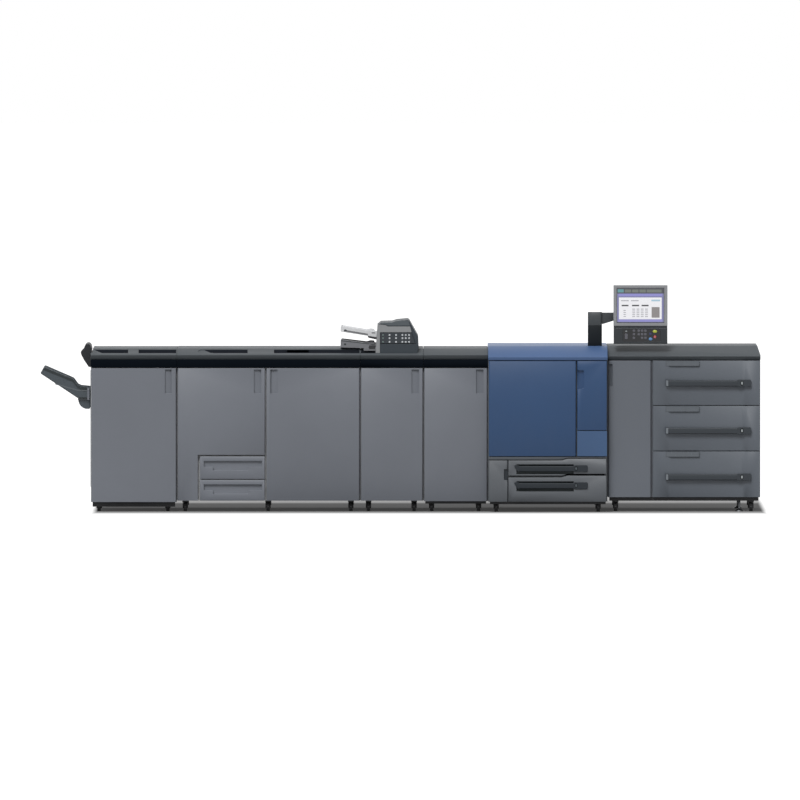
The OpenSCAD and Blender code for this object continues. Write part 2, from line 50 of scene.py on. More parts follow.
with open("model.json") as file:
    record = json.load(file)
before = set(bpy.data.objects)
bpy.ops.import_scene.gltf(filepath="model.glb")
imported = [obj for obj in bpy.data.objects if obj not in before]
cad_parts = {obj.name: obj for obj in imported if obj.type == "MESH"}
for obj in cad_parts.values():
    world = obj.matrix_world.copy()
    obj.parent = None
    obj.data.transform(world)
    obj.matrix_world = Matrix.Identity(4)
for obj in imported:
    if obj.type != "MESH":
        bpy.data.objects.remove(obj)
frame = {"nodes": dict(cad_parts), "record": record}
cad_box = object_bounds()
nodes = frame["nodes"]
MM = 0.001


# ---------------------------------------------------------------- materials

def srgb(r, g, b):
    """A display colour given as 0 to 255, as the linear RGBA that the shader takes."""
    def linear(v):
        v /= 255
        return v / 12.92 if v <= 0.04045 else ((v + 0.055) / 1.055) ** 2.4
    return (linear(r), linear(g), linear(b), 1.0)


def shade(color, factor):
    """A colour made darker or lighter by a factor."""
    return tuple(c * factor for c in color[:3]) + (1.0,)


FINISH = {}


class Shader:
    """A finish's node tree, with short calls to add and join nodes."""

    def __init__(self, name):
        self.material = FINISH[name] = bpy.data.materials.new(name)
        self.material.use_nodes = True
        self.tree = self.material.node_tree
        self.surface = self.tree.nodes["Principled BSDF"]
        self.place = self.add("ShaderNodeTexCoord").outputs["Object"]

    def add(self, kind, **settings):
        made = self.tree.nodes.new(kind)
        for key, value in settings.items():
            setattr(made, key, value)
        return made

    def join(self, output, socket):
        self.tree.links.new(output, socket)

    def noise(self, scale, detail=3.0, rough=0.55, stretch=None):
        """Noise from 0 to 1 at a number of features a metre, stretched along the axes if asked."""
        tex = self.add("ShaderNodeTexNoise")
        tex.inputs["Scale"].default_value = scale
        tex.inputs["Detail"].default_value = detail
        tex.inputs["Roughness"].default_value = rough
        place = self.place
        if stretch:
            mapping = self.add("ShaderNodeMapping")
            mapping.inputs["Scale"].default_value = stretch
            self.join(place, mapping.inputs["Vector"])
            place = mapping.outputs["Vector"]
        self.join(place, tex.inputs["Vector"])
        return tex.outputs["Fac"]

    def ramp(self, value, low, high, start=0.3, stop=0.7):
        """Maps value from start..stop to low..high."""
        made = self.add("ShaderNodeMapRange")
        made.inputs["From Min"].default_value = start
        made.inputs["From Max"].default_value = stop
        made.inputs["To Min"].default_value = low
        made.inputs["To Max"].default_value = high
        self.join(value, made.inputs["Value"])
        return made.outputs["Result"]

    def mix(self, factor, a, b):
        """Mixes colours a and b; each is a colour or another node's output."""
        made = self.add("ShaderNodeMix", data_type="RGBA")
        for value, socket in ((factor, made.inputs["Factor"]), (a, made.inputs["A"]),
                              (b, made.inputs["B"])):
            if isinstance(value, bpy.types.NodeSocket):
                self.join(value, socket)
            else:
                socket.default_value = value
        return made.outputs["Result"]

    def bump(self, height, strength, distance):
        made = self.add("ShaderNodeBump")
        made.inputs["Strength"].default_value = strength
        made.inputs["Distance"].default_value = distance
        self.join(height, made.inputs["Height"])
        return made.outputs["Normal"]

    def set(self, **values):
        for name, value in values.items():
            socket = self.surface.inputs[name.replace("_", " ")]
            if isinstance(value, bpy.types.NodeSocket):
                self.join(value, socket)
            else:
                socket.default_value = value


def painted(name, color, rough=0.42, flake=0.0, shine=0.5):
    """Sheet metal under satin paint: slight unevenness, orange peel and soft smudges."""
    s, color = Shader(name), srgb(*color)
    cloud = s.noise(1.6, 4.0)
    smudge = s.noise(9.0, 5.0, 0.6, (1.0, 1.0, 0.45))
    tone = s.mix(s.ramp(cloud, 0.0, 1.0), shade(color, 0.965), shade(color, 1.035))
    grain = s.noise(900.0, 2.0)
    tone = s.mix(s.ramp(grain, 0.0, 0.10 + flake), tone, shade(color, 1.25))
    s.set(Base_Color=tone, Roughness=s.ramp(smudge, rough - 0.05, rough + 0.07),
          Normal=s.bump(s.noise(330.0, 2.0), 0.10, 0.0006), Specular_IOR_Level=shine)


def moulded(name, color, rough=0.5, shine=0.5):
    """Moulded plastic with a fine spark-eroded grain."""
    s, color = Shader(name), srgb(*color)
    cloud = s.noise(3.0, 3.0)
    speck = s.noise(700.0, 2.0)
    tone = s.mix(s.ramp(cloud, 0.0, 1.0), shade(color, 0.96), shade(color, 1.04))
    tone = s.mix(s.ramp(speck, 0.0, 0.16), tone, shade(color, 0.7))
    s.set(Base_Color=tone, Roughness=s.ramp(cloud, rough - 0.04, rough + 0.05),
          Normal=s.bump(speck, 0.18, 0.0005), Specular_IOR_Level=shine)


def rubbery(name, color):
    """Rubber with a little dust in its grain."""
    s, color = Shader(name), srgb(*color)
    dust = s.noise(60.0, 4.0)
    tone = s.mix(s.ramp(dust, 0.0, 0.5, 0.45, 0.8), color, shade(color, 2.4))
    s.set(Base_Color=tone, Roughness=s.ramp(dust, 0.62, 0.85),
          Normal=s.bump(s.noise(500.0), 0.2, 0.0006))


def metal(name, color, rough, brushed):
    """Bare or zinc-plated steel with a brushed grain."""
    s, color = Shader(name), srgb(*color)
    lines = s.noise(240.0, 3.0, 0.6, brushed)
    s.set(Base_Color=s.mix(s.ramp(lines, 0.0, 1.0), shade(color, 0.85), shade(color, 1.1)),
          Metallic=1.0, Roughness=s.ramp(lines, rough - 0.06, rough + 0.1),
          Normal=s.bump(lines, 0.08, 0.0003))


def lit(name, color, strength):
    """A lamp or a part of the display that glows behind smooth clear plastic."""
    s, color = Shader(name), srgb(*color)
    haze = s.noise(120.0, 2.0)
    s.set(Base_Color=s.mix(s.ramp(haze, 0.0, 1.0), shade(color, 0.20), shade(color, 0.28)),
          Roughness=0.18, Emission_Color=color, Emission_Strength=strength)


def glossy(name, color, rough=0.12):
    """Smooth hard plastic with a faint haze of wiping marks."""
    s, color = Shader(name), srgb(*color)
    haze = s.noise(40.0, 4.0, 0.6, (1.0, 1.0, 0.3))
    s.set(Base_Color=s.mix(s.ramp(haze, 0.0, 1.0), shade(color, 0.94), shade(color, 1.06)),
          Roughness=s.ramp(haze, rough, rough + 0.08))


painted("door_grey", (114, 118, 126))
moulded("cover_grey", (85, 90, 94), shine=0.25)
painted("engine_blue", (48, 76, 114), 0.38, 0.06, 0.35)
moulded("engine_cover_blue", (78, 105, 148), 0.4, shine=0.4)
moulded("engine_grey", (92, 96, 101))
moulded("rail_grey", (72, 77, 83))
painted("panel_blue", (66, 92, 128), 0.38, 0.06, 0.35)
moulded("trim_black", (18, 23, 30), 0.6, shine=0.0)
moulded("handle_dark", (42, 48, 54), 0.42, shine=0.4)
moulded("engine_handle", (32, 38, 44), 0.45, shine=0.3)
moulded("tray_dark", (66, 74, 80), 0.45)
moulded("tray_pale", (226, 227, 229), 0.5)
moulded("tray_grey", (120, 121, 125), 0.5)
moulded("panel_dark", (54, 59, 63), 0.45)
moulded("bezel_grey", (150, 152, 155), 0.45)
moulded("keypad_black", (44, 48, 52), 0.35, shine=0.35)
painted("skirt_black", (26, 27, 30), 0.6)
rubbery("wheel_rubber", (22, 22, 24))
painted("caster_steel", (34, 35, 38), 0.45)
metal("foot_steel", (96, 98, 101), 0.4, (1.0, 1.0, 1.0))
painted("vent_grey", (96, 101, 107))
painted("rear_grey", (128, 131, 136), 0.48)
moulded("key_pale", (205, 210, 214), 0.35)
moulded("key_dark", (92, 92, 100), 0.35)
moulded("well_black", (30, 34, 42), 0.8, shine=0.2)
glossy("label_clear", (92, 98, 105), 0.2)
moulded("seal_grey", (128, 130, 134), 0.7)
moulded("key_dim", (98, 114, 112), 0.4)
metal("plate_zinc", (150, 153, 155), 0.38, (1.0, 10.0, 1.0))
painted("frame_light", (196, 198, 200), 0.5)
moulded("column_dark", (30, 34, 38), 0.5, shine=0.1)
moulded("exit_dark", (38, 40, 43), 0.5, shine=0.25)
# The feed unit's door and drawers take darker copies of the door paint: painted shade where the light
# falls off at that end of the line
painted("feeder_grey_painted_shade", (100, 105, 113))
painted("feeder_drawer_grey_painted_shade", (90, 96, 104))
moulded("lid_grey_and_painted_highlight", (84, 91, 96), 0.4, shine=0.4)
moulded("inserter_dark", (42, 50, 57), 0.45, shine=0.4)
moulded("inserter_grey", (146, 148, 150), 0.5)
moulded("tray_shadow", (44, 50, 52), 0.55, shine=0.3)
moulded("tray_light", (98, 104, 108), 0.45)
moulded("bracket_grey", (116, 117, 120), 0.5)
glossy("lamp_off", (70, 80, 86), 0.25)
metal("screw_zinc", (150, 152, 155), 0.3, (1.0, 1.0, 1.0))
glossy("inset_black", (14, 15, 20))
moulded("cap_grey", (118, 124, 130), 0.35)
lit("lamp_pale", (190, 198, 200), 0.35)
painted("liner_white", (176, 178, 178), 0.5)
moulded("magnet_black", (30, 31, 34), 0.5)
lit("view_edge", (70, 72, 78), 0.9)
lit("view_violet", (118, 119, 158), 0.9)
lit("view_violet_bright", (134, 132, 192), 0.9)
lit("view_tab", (106, 112, 106), 0.9)
lit("view_teal", (92, 140, 145), 0.9)
lit("view_page", (244, 244, 248), 0.72)
lit("view_ink", (70, 70, 74), 0.8)
lit("view_faint", (168, 168, 174), 0.85)
lit("view_sky", (160, 190, 206), 0.85)
lit("view_taupe", (134, 130, 130), 0.85)
glossy("button_blue", (96, 150, 205), 0.25)
glossy("button_violet", (44, 50, 92), 0.25)
glossy("button_green", (186, 196, 70), 0.25)
glossy("button_red", (190, 60, 66), 0.25)
glossy("button_white", (214, 214, 216), 0.25)

slot_of = {part["node"]: part["material_slot"] for part in frame["record"]["subparts"]}
body_of = {node: body for body, names in frame["record"]["behaviour"]["bodies"].items()
           for node in names}
OWN_FINISH = {"cover_wells": "well_black", "inserter_body": "inserter_dark",
              "panel_column": "column_dark", "engine_cross_rail": "rail_grey",
              "engine_lower_panel": "panel_blue",
              "feeder_top_drawer": "feeder_drawer_grey_painted_shade",
              "feeder_middle_drawer": "feeder_drawer_grey_painted_shade",
              "feeder_bottom_drawer": "feeder_drawer_grey_painted_shade"}
for name, obj in nodes.items():
    obj.data.materials.clear()
    obj.data.materials.append(FINISH[OWN_FINISH.get(name, slot_of[name])])


def part_finish(node, finish, belongs):
    """Gives another finish to the faces of a node whose corners and normal pass a test."""
    mesh = nodes[node].data
    mesh.materials.append(FINISH[finish])
    for face in mesh.polygons:
        if belongs([mesh.vertices[i].co for i in face.vertices], face.normal):
            face.material_index = len(mesh.materials) - 1


# The frames that the doors close on, and painted shade on the floors of the hollows behind the
# engine's handles
for module in ("finisher", "binder", "folder", "relay"):
    node = module + "_cabinet"
    part_finish(node, "frame_light", lambda corners, normal: normal.y < -0.9)
for node in ("engine_upper_drawer", "engine_lower_drawer"):
    face_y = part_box(node)[0].y
    part_finish(node, "tray_shadow", lambda corners, normal: normal.y < -0.9
                and 15 * MM < corners[0].y - face_y < 25 * MM)


def round_edges(obj, width):
    """Softens a piece's edges as a press tool or a mould would, by modifiers alone."""
    weld = obj.modifiers.new("weld", "WELD")
    weld.merge_threshold = 1e-5
    bevel = obj.modifiers.new("edges", "BEVEL")
    bevel.width = width
    bevel.segments = 2
    bevel.limit_method = "ANGLE"
    bevel.angle_limit = math.radians(30)
    bevel.harden_normals = True
    bevel.use_clamp_overlap = True


for name, obj in nodes.items():
    obj.data.polygons.foreach_set("use_smooth", [True] * len(obj.data.polygons))
    round_edges(obj, 0.0006 if name == "rear_vents" else 0.0018)


# ---------------------------------------------------------------- forms
# From here to the stage, every length is in millimetres; Form scales what it makes to metres.

Point = namedtuple("Point", "x y z")


def box(node):
    """Low and high corner of a node in millimetres."""
    return [Point(*(value / MM for value in corner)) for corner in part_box(node)]


def rect(x0, x1, z0, z1):
    return [(x0, z0), (x1, z0), (x1, z1), (x0, z1)]


def arc(cx, cy, r, start, stop, steps=4):
    """Points of an arc between two angles in degrees."""
    angles = [math.radians(start + (stop - start) * i / steps) for i in range(steps + 1)]
    return [(cx + r * math.cos(a), cy + r * math.sin(a)) for a in angles]


def rounded(x0, x1, z0, z1, r, steps=4):
    """Outline of a rectangle with rounded corners."""
    corners = ((x1 - r, z1 - r, 0), (x0 + r, z1 - r, 90), (x0 + r, z0 + r, 180),
               (x1 - r, z0 + r, 270))
    return [point for x, z, turn in corners for point in arc(x, z, r, turn, turn + 90, steps)]


class Form:
    """A piece put together from prisms and turned shapes, each with its own finish."""

    PLANES = {"x": (1, 2, 0), "y": (0, 2, 1), "z": (0, 1, 2)}

    def __init__(self, name, body, *finishes):
        self.name = name
        self.body = body
        self.finishes = finishes
        self.mesh = bmesh.new()

    def _face(self, ring, finish):
        face = self.mesh.faces.new(ring)
        face.material_index = self.finishes.index(finish)

    def prism(self, outline, axis, start, stop, finish=None, ease=0.0):
        """Outline run along an axis from start to stop; ease chamfers the edge at start."""
        u, v, w = self.PLANES[axis]
        finish = finish or self.finishes[0]
        cu = sum(p[0] for p in outline) / len(outline)
        cv = sum(p[1] for p in outline) / len(outline)
        grow_u = max(abs(p[0] - cu) for p in outline)
        grow_v = max(abs(p[1] - cv) for p in outline)
        levels = [(start, ease), (stop, 0.0)]
        if ease:
            levels.insert(1, (start + math.copysign(ease, stop - start), 0.0))
        rings = []
        for depth, inset in levels:
            ring = []
            for a, b in outline:
                place = [0.0, 0.0, 0.0]
                place[u] = cu + (a - cu) * (1 - inset / grow_u)
                place[v] = cv + (b - cv) * (1 - inset / grow_v)
                place[w] = depth
                ring.append(self.mesh.verts.new([value * MM for value in place]))
            rings.append(ring)
        count = len(outline)
        for below, above in zip(rings, rings[1:]):
            for i in range(count):
                j = (i + 1) % count
                self._face((below[i], below[j], above[j], above[i]), finish)
        self._face(rings[0], finish)
        self._face(rings[-1], finish)

    def plate(self, x0, x1, z0, z1, r, near, far, finish=None, ease=0.0, steps=4):
        """Upright plate with rounded corners, from near to far."""
        self.prism(rounded(x0, x1, z0, z1, r, steps), "y", near, far, finish, ease)

    def rim(self, x0, x1, z0, z1, width, near, far, finish=None):
        """Frame of four strips inside a rectangle."""
        for strip in (rect(x0, x1, z0, z0 + width), rect(x0, x1, z1 - width, z1),
                      rect(x0, x0 + width, z0, z1), rect(x1 - width, x1, z0, z1)):
            self.prism(strip, "y", near, far, finish)

    def turned(self, profile, centre, along, finish=None, segments=24, stretch=(1.0, 1.0)):
        """A profile of (radius, distance) turned about a line from centre along a direction."""
        finish = finish or self.finishes[0]
        along = Vector(along).normalized()
        side = Vector((1, 0, 0)) if abs(along.x) < 0.9 else Vector((0, 1, 0))
        up = along.cross(side)
        rings = []
        for radius, distance in profile:
            middle = Vector(centre) + along * distance
            if radius == 0:
                rings.append([self.mesh.verts.new(middle * MM)])
                continue
            ring = []
            for i in range(segments):
                a = math.tau * i / segments
                place = (middle + side * (radius * stretch[0] * math.cos(a))
                         + up * (radius * stretch[1] * math.sin(a)))
                ring.append(self.mesh.verts.new(place * MM))
            rings.append(ring)
        for below, above in zip(rings, rings[1:]):
            for i in range(segments):
                j = (i + 1) % segments
                quad = [below[i % len(below)], below[j % len(below)],
                        above[j % len(above)], above[i % len(above)]]
                self._face(list(dict.fromkeys(quad)), finish)

    def _object(self, name):
        bmesh.ops.recalc_face_normals(self.mesh, faces=self.mesh.faces)
        data = bpy.data.meshes.new(name)
        self.mesh.to_mesh(data)
        self.mesh.free()
        for finish in self.finishes:
            data.materials.append(FINISH[finish])
        obj = bpy.data.objects.new(name, data)
        bpy.context.scene.collection.objects.link(obj)
        return obj

    def solid(self, cuts=None, use_self=True):
        """The form as an object, less another form."""
        obj = self._object(self.name)
        if cuts:
            cutter = cuts._object(self.name + "_cuts")
            cut = obj.modifiers.new("cut", "BOOLEAN")
            cut.object, cut.solver, cut.use_self = cutter, "EXACT", use_self
            seen = obj.evaluated_get(bpy.context.evaluated_depsgraph_get())
            data = bpy.data.meshes.new_from_object(seen)
            obj.modifiers.clear()
            obj.data = data
            bpy.data.objects.remove(cutter)
        return obj

    def done(self, replaces=(), edge=0.0, cuts=None):
        """Makes the piece: cut by another form, standing for CAD nodes, its edges eased."""
        obj = self.solid(cuts)
        obj.data.polygons.foreach_set("use_smooth", [True] * len(obj.data.polygons))
        if edge:
            round_edges(obj, edge * MM)
        else:
            obj.data.set_sharp_from_angle(angle=math.radians(35))
        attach(obj, self.body)
        if replaces:
            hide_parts(*replaces)


def islands(name):
    """Boxes of a node's separate solids as (low, high) corners, from left to right."""
    mesh = bmesh.new()
    mesh.from_mesh(nodes[name].data)
    bmesh.ops.remove_doubles(mesh, verts=mesh.verts, dist=1e-5)
    left = set(mesh.verts)
    boxes = []
    while left:
        grown, edge = set(), [left.pop()]
        while edge:
            vert = edge.pop()
            grown.add(vert)
            for link in vert.link_edges:
                other = link.other_vert(vert)
                if other in left:
                    left.discard(other)
                    edge.append(other)
        boxes.append([Point(*(pick(v.co[i] for v in grown) / MM for i in range(3)))
                      for pick in (min, max)])
    mesh.free()
    return sorted(boxes, key=lambda pair: (round(pair[0].x), pair[0].y, pair[0].z))


# A screw's head with its sunk middle, as (radius, height)
SCREW = [(0.0, 1.0), (1.6, 1.0), (1.9, 2.2), (3.4, 1.9), (4.2, 0.6), (4.2, -0.4)]


def screws(form, places, along, finish, scale=1.0):
    for place in places:
        form.turned([(r * scale, d * scale) for r, d in SCREW], place, along, finish, 12)


# ---------------------------------------------------------------- covers, skirts and doors

def built(name, finish, parts, cuts=(), replaces=(), edge=1.8, body="line"):
    """A piece of one finish made of prisms, less other prisms and meshes."""
    form, cutter = Form(name, body, finish), Form(name + "_cuts", body, finish)
    for part in parts:
        form.prism(*part)
    for cut in cuts:
        if isinstance(cut, bpy.types.Mesh):
            cutter.mesh.from_mesh(cut)
        else:
            cutter.prism(*cut)
    form.done(replaces, edge, cutter if cuts else None)


def span(module):
    """Left and right face of a module; its cabinet stands 1.5 in from both."""
    low, high = box(module + "_cabinet")
    return low.x - 1.5, high.x + 1.5


MODULES = ["finisher", "binder", "folder", "relay", "engine", "feeder"]
SPAN = {module: span(module) for module in MODULES}
FRONT = box("finisher_door")[0].y
ENGINE_FRONT = box("engine_left_door")[0].y
# Heights on the finishing modules' covers: deck, front lip and underside; length of the slope
DECK = box("folder_top_cover")[1].z
LIP = DECK - 47
COVER = DECK - 80
COVER_RUN = 120
SLOPE = (DECK - LIP - 4) / (COVER_RUN - 12)
# Floor of the wells, and their front on the slope and back wall
WELL = DECK - 33
WELL_Y = (FRONT + 2 + (WELL + 1 - LIP) / SLOPE, FRONT + 97)
# Each module's wells, from its left face: left, right, and the lead of the left end
WELLS = {"finisher": [(22, 282, 57), (361, 644, 0)],
         "binder": [(208, 532, 60), (731, 1374, 0)],
         "folder": [(6, 116, 0)]}
# Sheet slot in the back wall of the binding module's second well
SLOT = (827, 993)


def cover_outline(y0, y1, bottom, lip, top, run, under=20, crease=()):
    """Side outline of a top cover: a front lip, a slope and a deck that rounds over behind."""
    return ([(y0 + under, bottom), (y1, bottom)] + arc(y1 - 14, top - 14, 14, 0, 90)
            + [(y0 + run, top), (y0 + run - 10, top - 2)] + list(crease)
            + [(y0 + 2, lip + 2), (y0, lip)])


def well_plan(left, right, lead, y0, y1):
    """Plan of a well whose left end slants by a lead from its back wall to its front."""
    def edge(y):
        return left + lead * (WELL_Y[1] - y) / (WELL_Y[1] - WELL_Y[0])
    return [(edge(y0), y0), (right, y0), (right, y1), (edge(y1), y1)]


def leaf_hollow(x0, back):
    """Leaf-shaped hollow 6 deep in the slope, beside the binding module's first well."""
    hollow, floor = Form("leaf", "line", "cover_grey"), Form("leaf_floor", "line", "cover_grey")
    hollow.prism(arc(x0 + 268, back - 20, 109, 180, 210)
                 + [(x0 + 278, FRONT + 44), (x0 + 218, back), (x0 + 179, back)], "z",
                 WELL - 12, DECK + 20)
    slope = [(y, LIP + 2 + (y - FRONT - 2) * SLOPE - 6) for y in (FRONT + 20, back)]
    floor.prism(slope + [(back + 9, COVER), (FRONT + 20, COVER)], "x", x0 + 140, x0 + 290)
    obj = hollow.solid(floor, use_self=False)
    mesh = obj.data
    bpy.data.objects.remove(obj)
    return mesh


def finishing_covers():
    """Covers of the finishing modules with the wells' notches, and the wells' black lining."""
    lining = Form("well_lining", "line", "well_black", "trim_black")
    back = WELL_Y[1]
    for module in ("finisher", "binder", "folder", "relay"):
        x0, x1 = SPAN[module]
        deep = box(module + "_top_cover")[1].y
        cuts = []
        if module == "finisher":
            # Room for the exit unit's hood
            cuts.append((rect(x0 - 5, x0 + 16, COVER + 49, DECK + 9), "y", FRONT - 10, deep + 10))
        for left, right, lead in WELLS.get(module, ()):
            left, right = x0 + left, x0 + right
            cuts.append((well_plan(left, right, lead, FRONT + 20, back), "z", WELL, DECK + 20))
            left, right = left + 0.2, right - 0.2
            lining.prism(well_plan(left, right, lead, WELL_Y[0] - 6, back), "z", WELL - 0.5, WELL + 1)
            walls = [(left, right)]
            if module == "binder" and not lead:
                slot = (x0 + SLOT[0], x0 + SLOT[1])
                walls = [(left, slot[0]), (slot[1], right)]
                cuts.append((rect(*slot, back - 1, back + 40), "z", WELL + 1, DECK - 10))
                for near, far, low, high in ((-3, 40, WELL + 0.5, WELL + 2),
                                             (-3, 40, DECK - 12, DECK - 9.5),
                                             (38, 40.5, WELL + 1, DECK - 10)):
                    lining.prism(rect(*slot, back + near, back + far), "z", low, high, "trim_black")
            for left, right in walls:
                lining.prism(well_plan(left, right, lead, back - 3, back + 0.5), "z",
                             WELL, DECK - 9)
        if module == "binder":
            cuts.append(leaf_hollow(x0, back))
        built(module + "_cover", "cover_grey",
              [(cover_outline(FRONT, deep, COVER, LIP, DECK, COVER_RUN), "x", x0 + 1, x1 - 1)],
              cuts, [module + "_top_cover"])
    lining.done(["cover_wells"], 0.6)


def engine_covers():
    """Cover of the print engine with the crease in its slope, and the feed unit's sloped end."""
    low, high = box("engine_top_cover")
    x0, x1 = SPAN["engine"]
    outline = cover_outline(ENGINE_FRONT, high.y, low.z, high.z - 79, high.z, run=150, under=8,
                            crease=[(ENGINE_FRONT + 62, high.z - 34)])
    built("engine_cover", "engine_cover_blue", [(outline, "x", x0 + 1, x1 - 1)],
          replaces=["engine_top_cover"])
    low, high = box("feeder_top_cover")
    x0, x1 = SPAN["feeder"]
    top = high.z
    outline = cover_outline(FRONT, high.y, low.z, top - 76, top, run=150)
    end = [(x1 - 22, top + 1), (x1 + 1, top - 70), (x1 + 30, top - 70), (x1 + 30, top + 9),
           (x1 - 22, top + 9)]
    built("feeder_cover", "cover_grey", [(outline, "x", x0 + 1, x1)],
          [(end, "y", FRONT - 10, high.y + 10)], ["feeder_top_cover"])


def skirts():
    """Skirts under four fronts and under every back."""
    heights = {"finisher": 36, "relay": 20, "engine": 20, "feeder": 28}
    inset, thick, rear_height = 12.5, 10, 20
    parts = []
    for module in MODULES:
        low, high = box(module + "_cabinet")
        rows = [(high.y - 14, rear_height)]
        if module in heights:
            rows.append((low.y + 4, heights[module]))
        parts += [(rect(low.x + inset, high.x - inset, low.z - height, low.z), "y",
                   y, y + thick) for y, height in rows]
    built("skirts", "skirt_black", parts, (), ["base_skirts"], 1.2)


def door(node, finish, left, right, down, up, deep_left, deep_right):
    """Door with a finger pocket, by its edges from the door's left and top, and two depths."""
    low, high = box(node)
    x0, x1, y = low.x, high.x, low.y
    plan = (arc(x0 + 10, y + 10, 10, 180, 270) + arc(x1 - 10, y + 10, 10, 270, 360)
            + arc(x1 - 6, y + 24, 6, 0, 90, 2) + arc(x0 + 6, y + 24, 6, 90, 180, 2))
    pocket = [(x0 + left, y - 1), (x0 + right, y - 1), (x0 + right, y + deep_right),
              (x0 + left, y + deep_left)]
    built(node + "_panel", finish, [(plan, "z", low.z, high.z)],
          [(pocket, "z", high.z - down, high.z - up)], [node], body=body_of[node])


finishing_covers()
engine_covers()
skirts()
door("finisher_door", "door_grey", left=556, right=605, down=190, up=10, deep_left=14,
     deep_right=21)
# The feed unit's door takes the darker copy of the door paint, which is painted shade
door("feeder_door", "feeder_grey_painted_shade", left=5, right=32, down=190, up=25, deep_left=21,
     deep_right=14)

# ---------------------------------------------------------------- operation panel

SCREEN = box("screen_housing")
SCREEN_BACK = SCREEN[0].y + 45
# Left, right, bottom and top of the recess that the display lies in
RECESS = (SCREEN[0].x + 23, SCREEN[1].x - 25, SCREEN[1].z - 282, SCREEN[1].z - 18)
# The display's fields and marks from the recess's top left corner: left, down, width, height,
# finish; later rows lie over earlier ones
DISPLAY = [
    (0, 0, 359, 264, "view_edge"),
    (4, 44, 351, 216, "view_violet"),
    (14, 46, 330, 18, "view_violet_bright"),
    (14, 240, 330, 16, "view_violet_bright"),
    (8, 12, 46, 24, "view_teal"),
    (62, 14, 48, 22, "view_tab"),
    (117, 14, 48, 22, "view_tab"),
    (172, 14, 48, 22, "view_tab"),
    (227, 14, 112, 22, "view_tab"),
    (18, 74, 322, 164, "view_page"),
    (34, 94, 58, 8, "view_faint"),
    (108, 94, 58, 8, "view_faint"),
    (262, 90, 66, 13, "view_sky"),
    (38, 129, 52, 11, "view_ink"),
    (116, 129, 54, 11, "view_ink"),
    (188, 129, 54, 11, "view_ink"),
    (264, 146, 60, 80, "view_taupe"),
]
DISPLAY += [(52, 168 + 15 * row, 18, 7, "view_faint") for row in range(4)]
DISPLAY += [(118 + 32 * col, 158 + 14 * row, 22, 7, "view_faint")
            for col in range(4) for row in range(5)]
# A button's dome as (share of its radius, share of its height)
DOME = [(0.0, 1.0), (0.55, 0.93), (0.85, 0.66), (0.97, 0.3), (1.0, -0.1)]
# Round buttons and the lamp, from the housing's left and down from the sunk field's top: left,
# down, radius, height, segments, finish, stretch
BUTTONS = [
    (278, 38, 10.5, 4.2, 32, "button_violet", (1.0, 1.0)),
    (279, 76, 11.5, 4.2, 32, "button_blue", (1.25, 1.0)),
    (312, 19, 11.5, 4.2, 32, "button_green", (1.45, 1.0)),
    (312, 60, 9.0, 4.2, 32, "button_red", (1.2, 1.3)),
    (96, 17, 4.5, 4.2, 32, "lamp_pale", (1.6, 1.0)),
    (312, 62, 4.2, 5.2, 24, "button_white", (1.0, 1.3)),
]


def display():
    """The display, recessed in the screen's bezel: plain fields, keys and rows, no words."""
    left, top, face = RECESS[0], RECESS[3], SCREEN[0].y
    form = Form("display_view", "operation_panel", *dict.fromkeys(row[4] for row in DISPLAY))
    for i, (x, z, width, height, finish) in enumerate(DISPLAY):
        form.plate(left + x, left + x + width, top - z - height, top - z, min(2, height / 4),
                   face + 3.6 - 0.03 * i, face + 4.2, finish, steps=2)
    form.done()
    seal = Form("display_seal", "operation_panel", "inset_black")
    seal.rim(*RECESS, 2.2, face + 0.6, face + 4.2)
    seal.done()


def keypad():
    """Keypad housing with its sunk field, keys, round buttons, rocker and lamp."""
    low, high = box("panel_keypad")
    x0, y, top, back = SCREEN[0].x, low.y, SCREEN[1].z, SCREEN_BACK
    outline = ([(y + 26, top - 305), (y + 26, top - 315)] + arc(y + 6, top - 325, 6, 90, 180, 3)
               + arc(y + 9, top - 432, 9, 180, 270, 3)
               + [(back - 8, top - 441), (back, top - 425), (back, top - 305)])
    field = (top - 425, top - 328)
    floor = y + 3
    built("keypad_housing", "keypad_black", [(outline, "x", low.x, high.x)],
          [(rounded(x0 + 69, x0 + 354, *field, 10), "y", y - 1, floor)], ["panel_keypad"],
          1.2, "operation_panel")
    keys = Form("keypad_keys", "operation_panel", "key_dark")
    for row in range(3):
        z = top - 341 - 27 * row
        for x in [190 + 25 * col for col in range(3) if row < 2 or col] + [153]:
            keys.plate(x0 + x - 9, x0 + x + 9, z - 8.5, z + 8.5, 4, y - 1, floor)
    keys.plate(x0 + 85, x0 + 107, top - 404, top - 364, 4, y - 1, floor)
    keys.done(edge=1.2)
    inset = Form("keypad_inset", "operation_panel", "inset_black")
    inset.plate(x0 + 70, x0 + 353, field[0] + 1, field[1] - 1, 9, floor - 0.5, floor + 0.3,
                ease=0.2)
    inset.done()
    buttons = Form("keypad_buttons", "operation_panel", *dict.fromkeys(b[5] for b in BUTTONS))
    for x, z, r, rise, segments, finish, stretch in BUTTONS:
        buttons.turned([(r * a, rise * b) for a, b in DOME], (x0 + x, floor - 0.4, field[1] - z),
                       (0, -1, 0), finish, segments, stretch)
    buttons.done()


def panel_details():
    """Screws, and black plates that paint the shade of cooling slots, on the back of the screen."""
    low, high = SCREEN
    form = Form("screen_back_details", "operation_panel", "inset_black", "screw_zinc")
    # Black plates: painted shade standing for the open cooling slots
    for i in range(9):
        x = low.x + 188 + 22 * i
        form.plate(x, x + 10, high.z - 130, high.z - 70, 4, SCREEN_BACK - 1, SCREEN_BACK + 0.25,
                   steps=3)
    places = [(low.x + dx, SCREEN_BACK, high.z - dz) for dx in (40, 367) for dz in (60, 285)]
    screws(form, places, (0, 1, 0), "screw_zinc", 1.2)
    form.done()


display()
keypad()
panel_details()


# ---------------------------------------------------------------- handles and labels

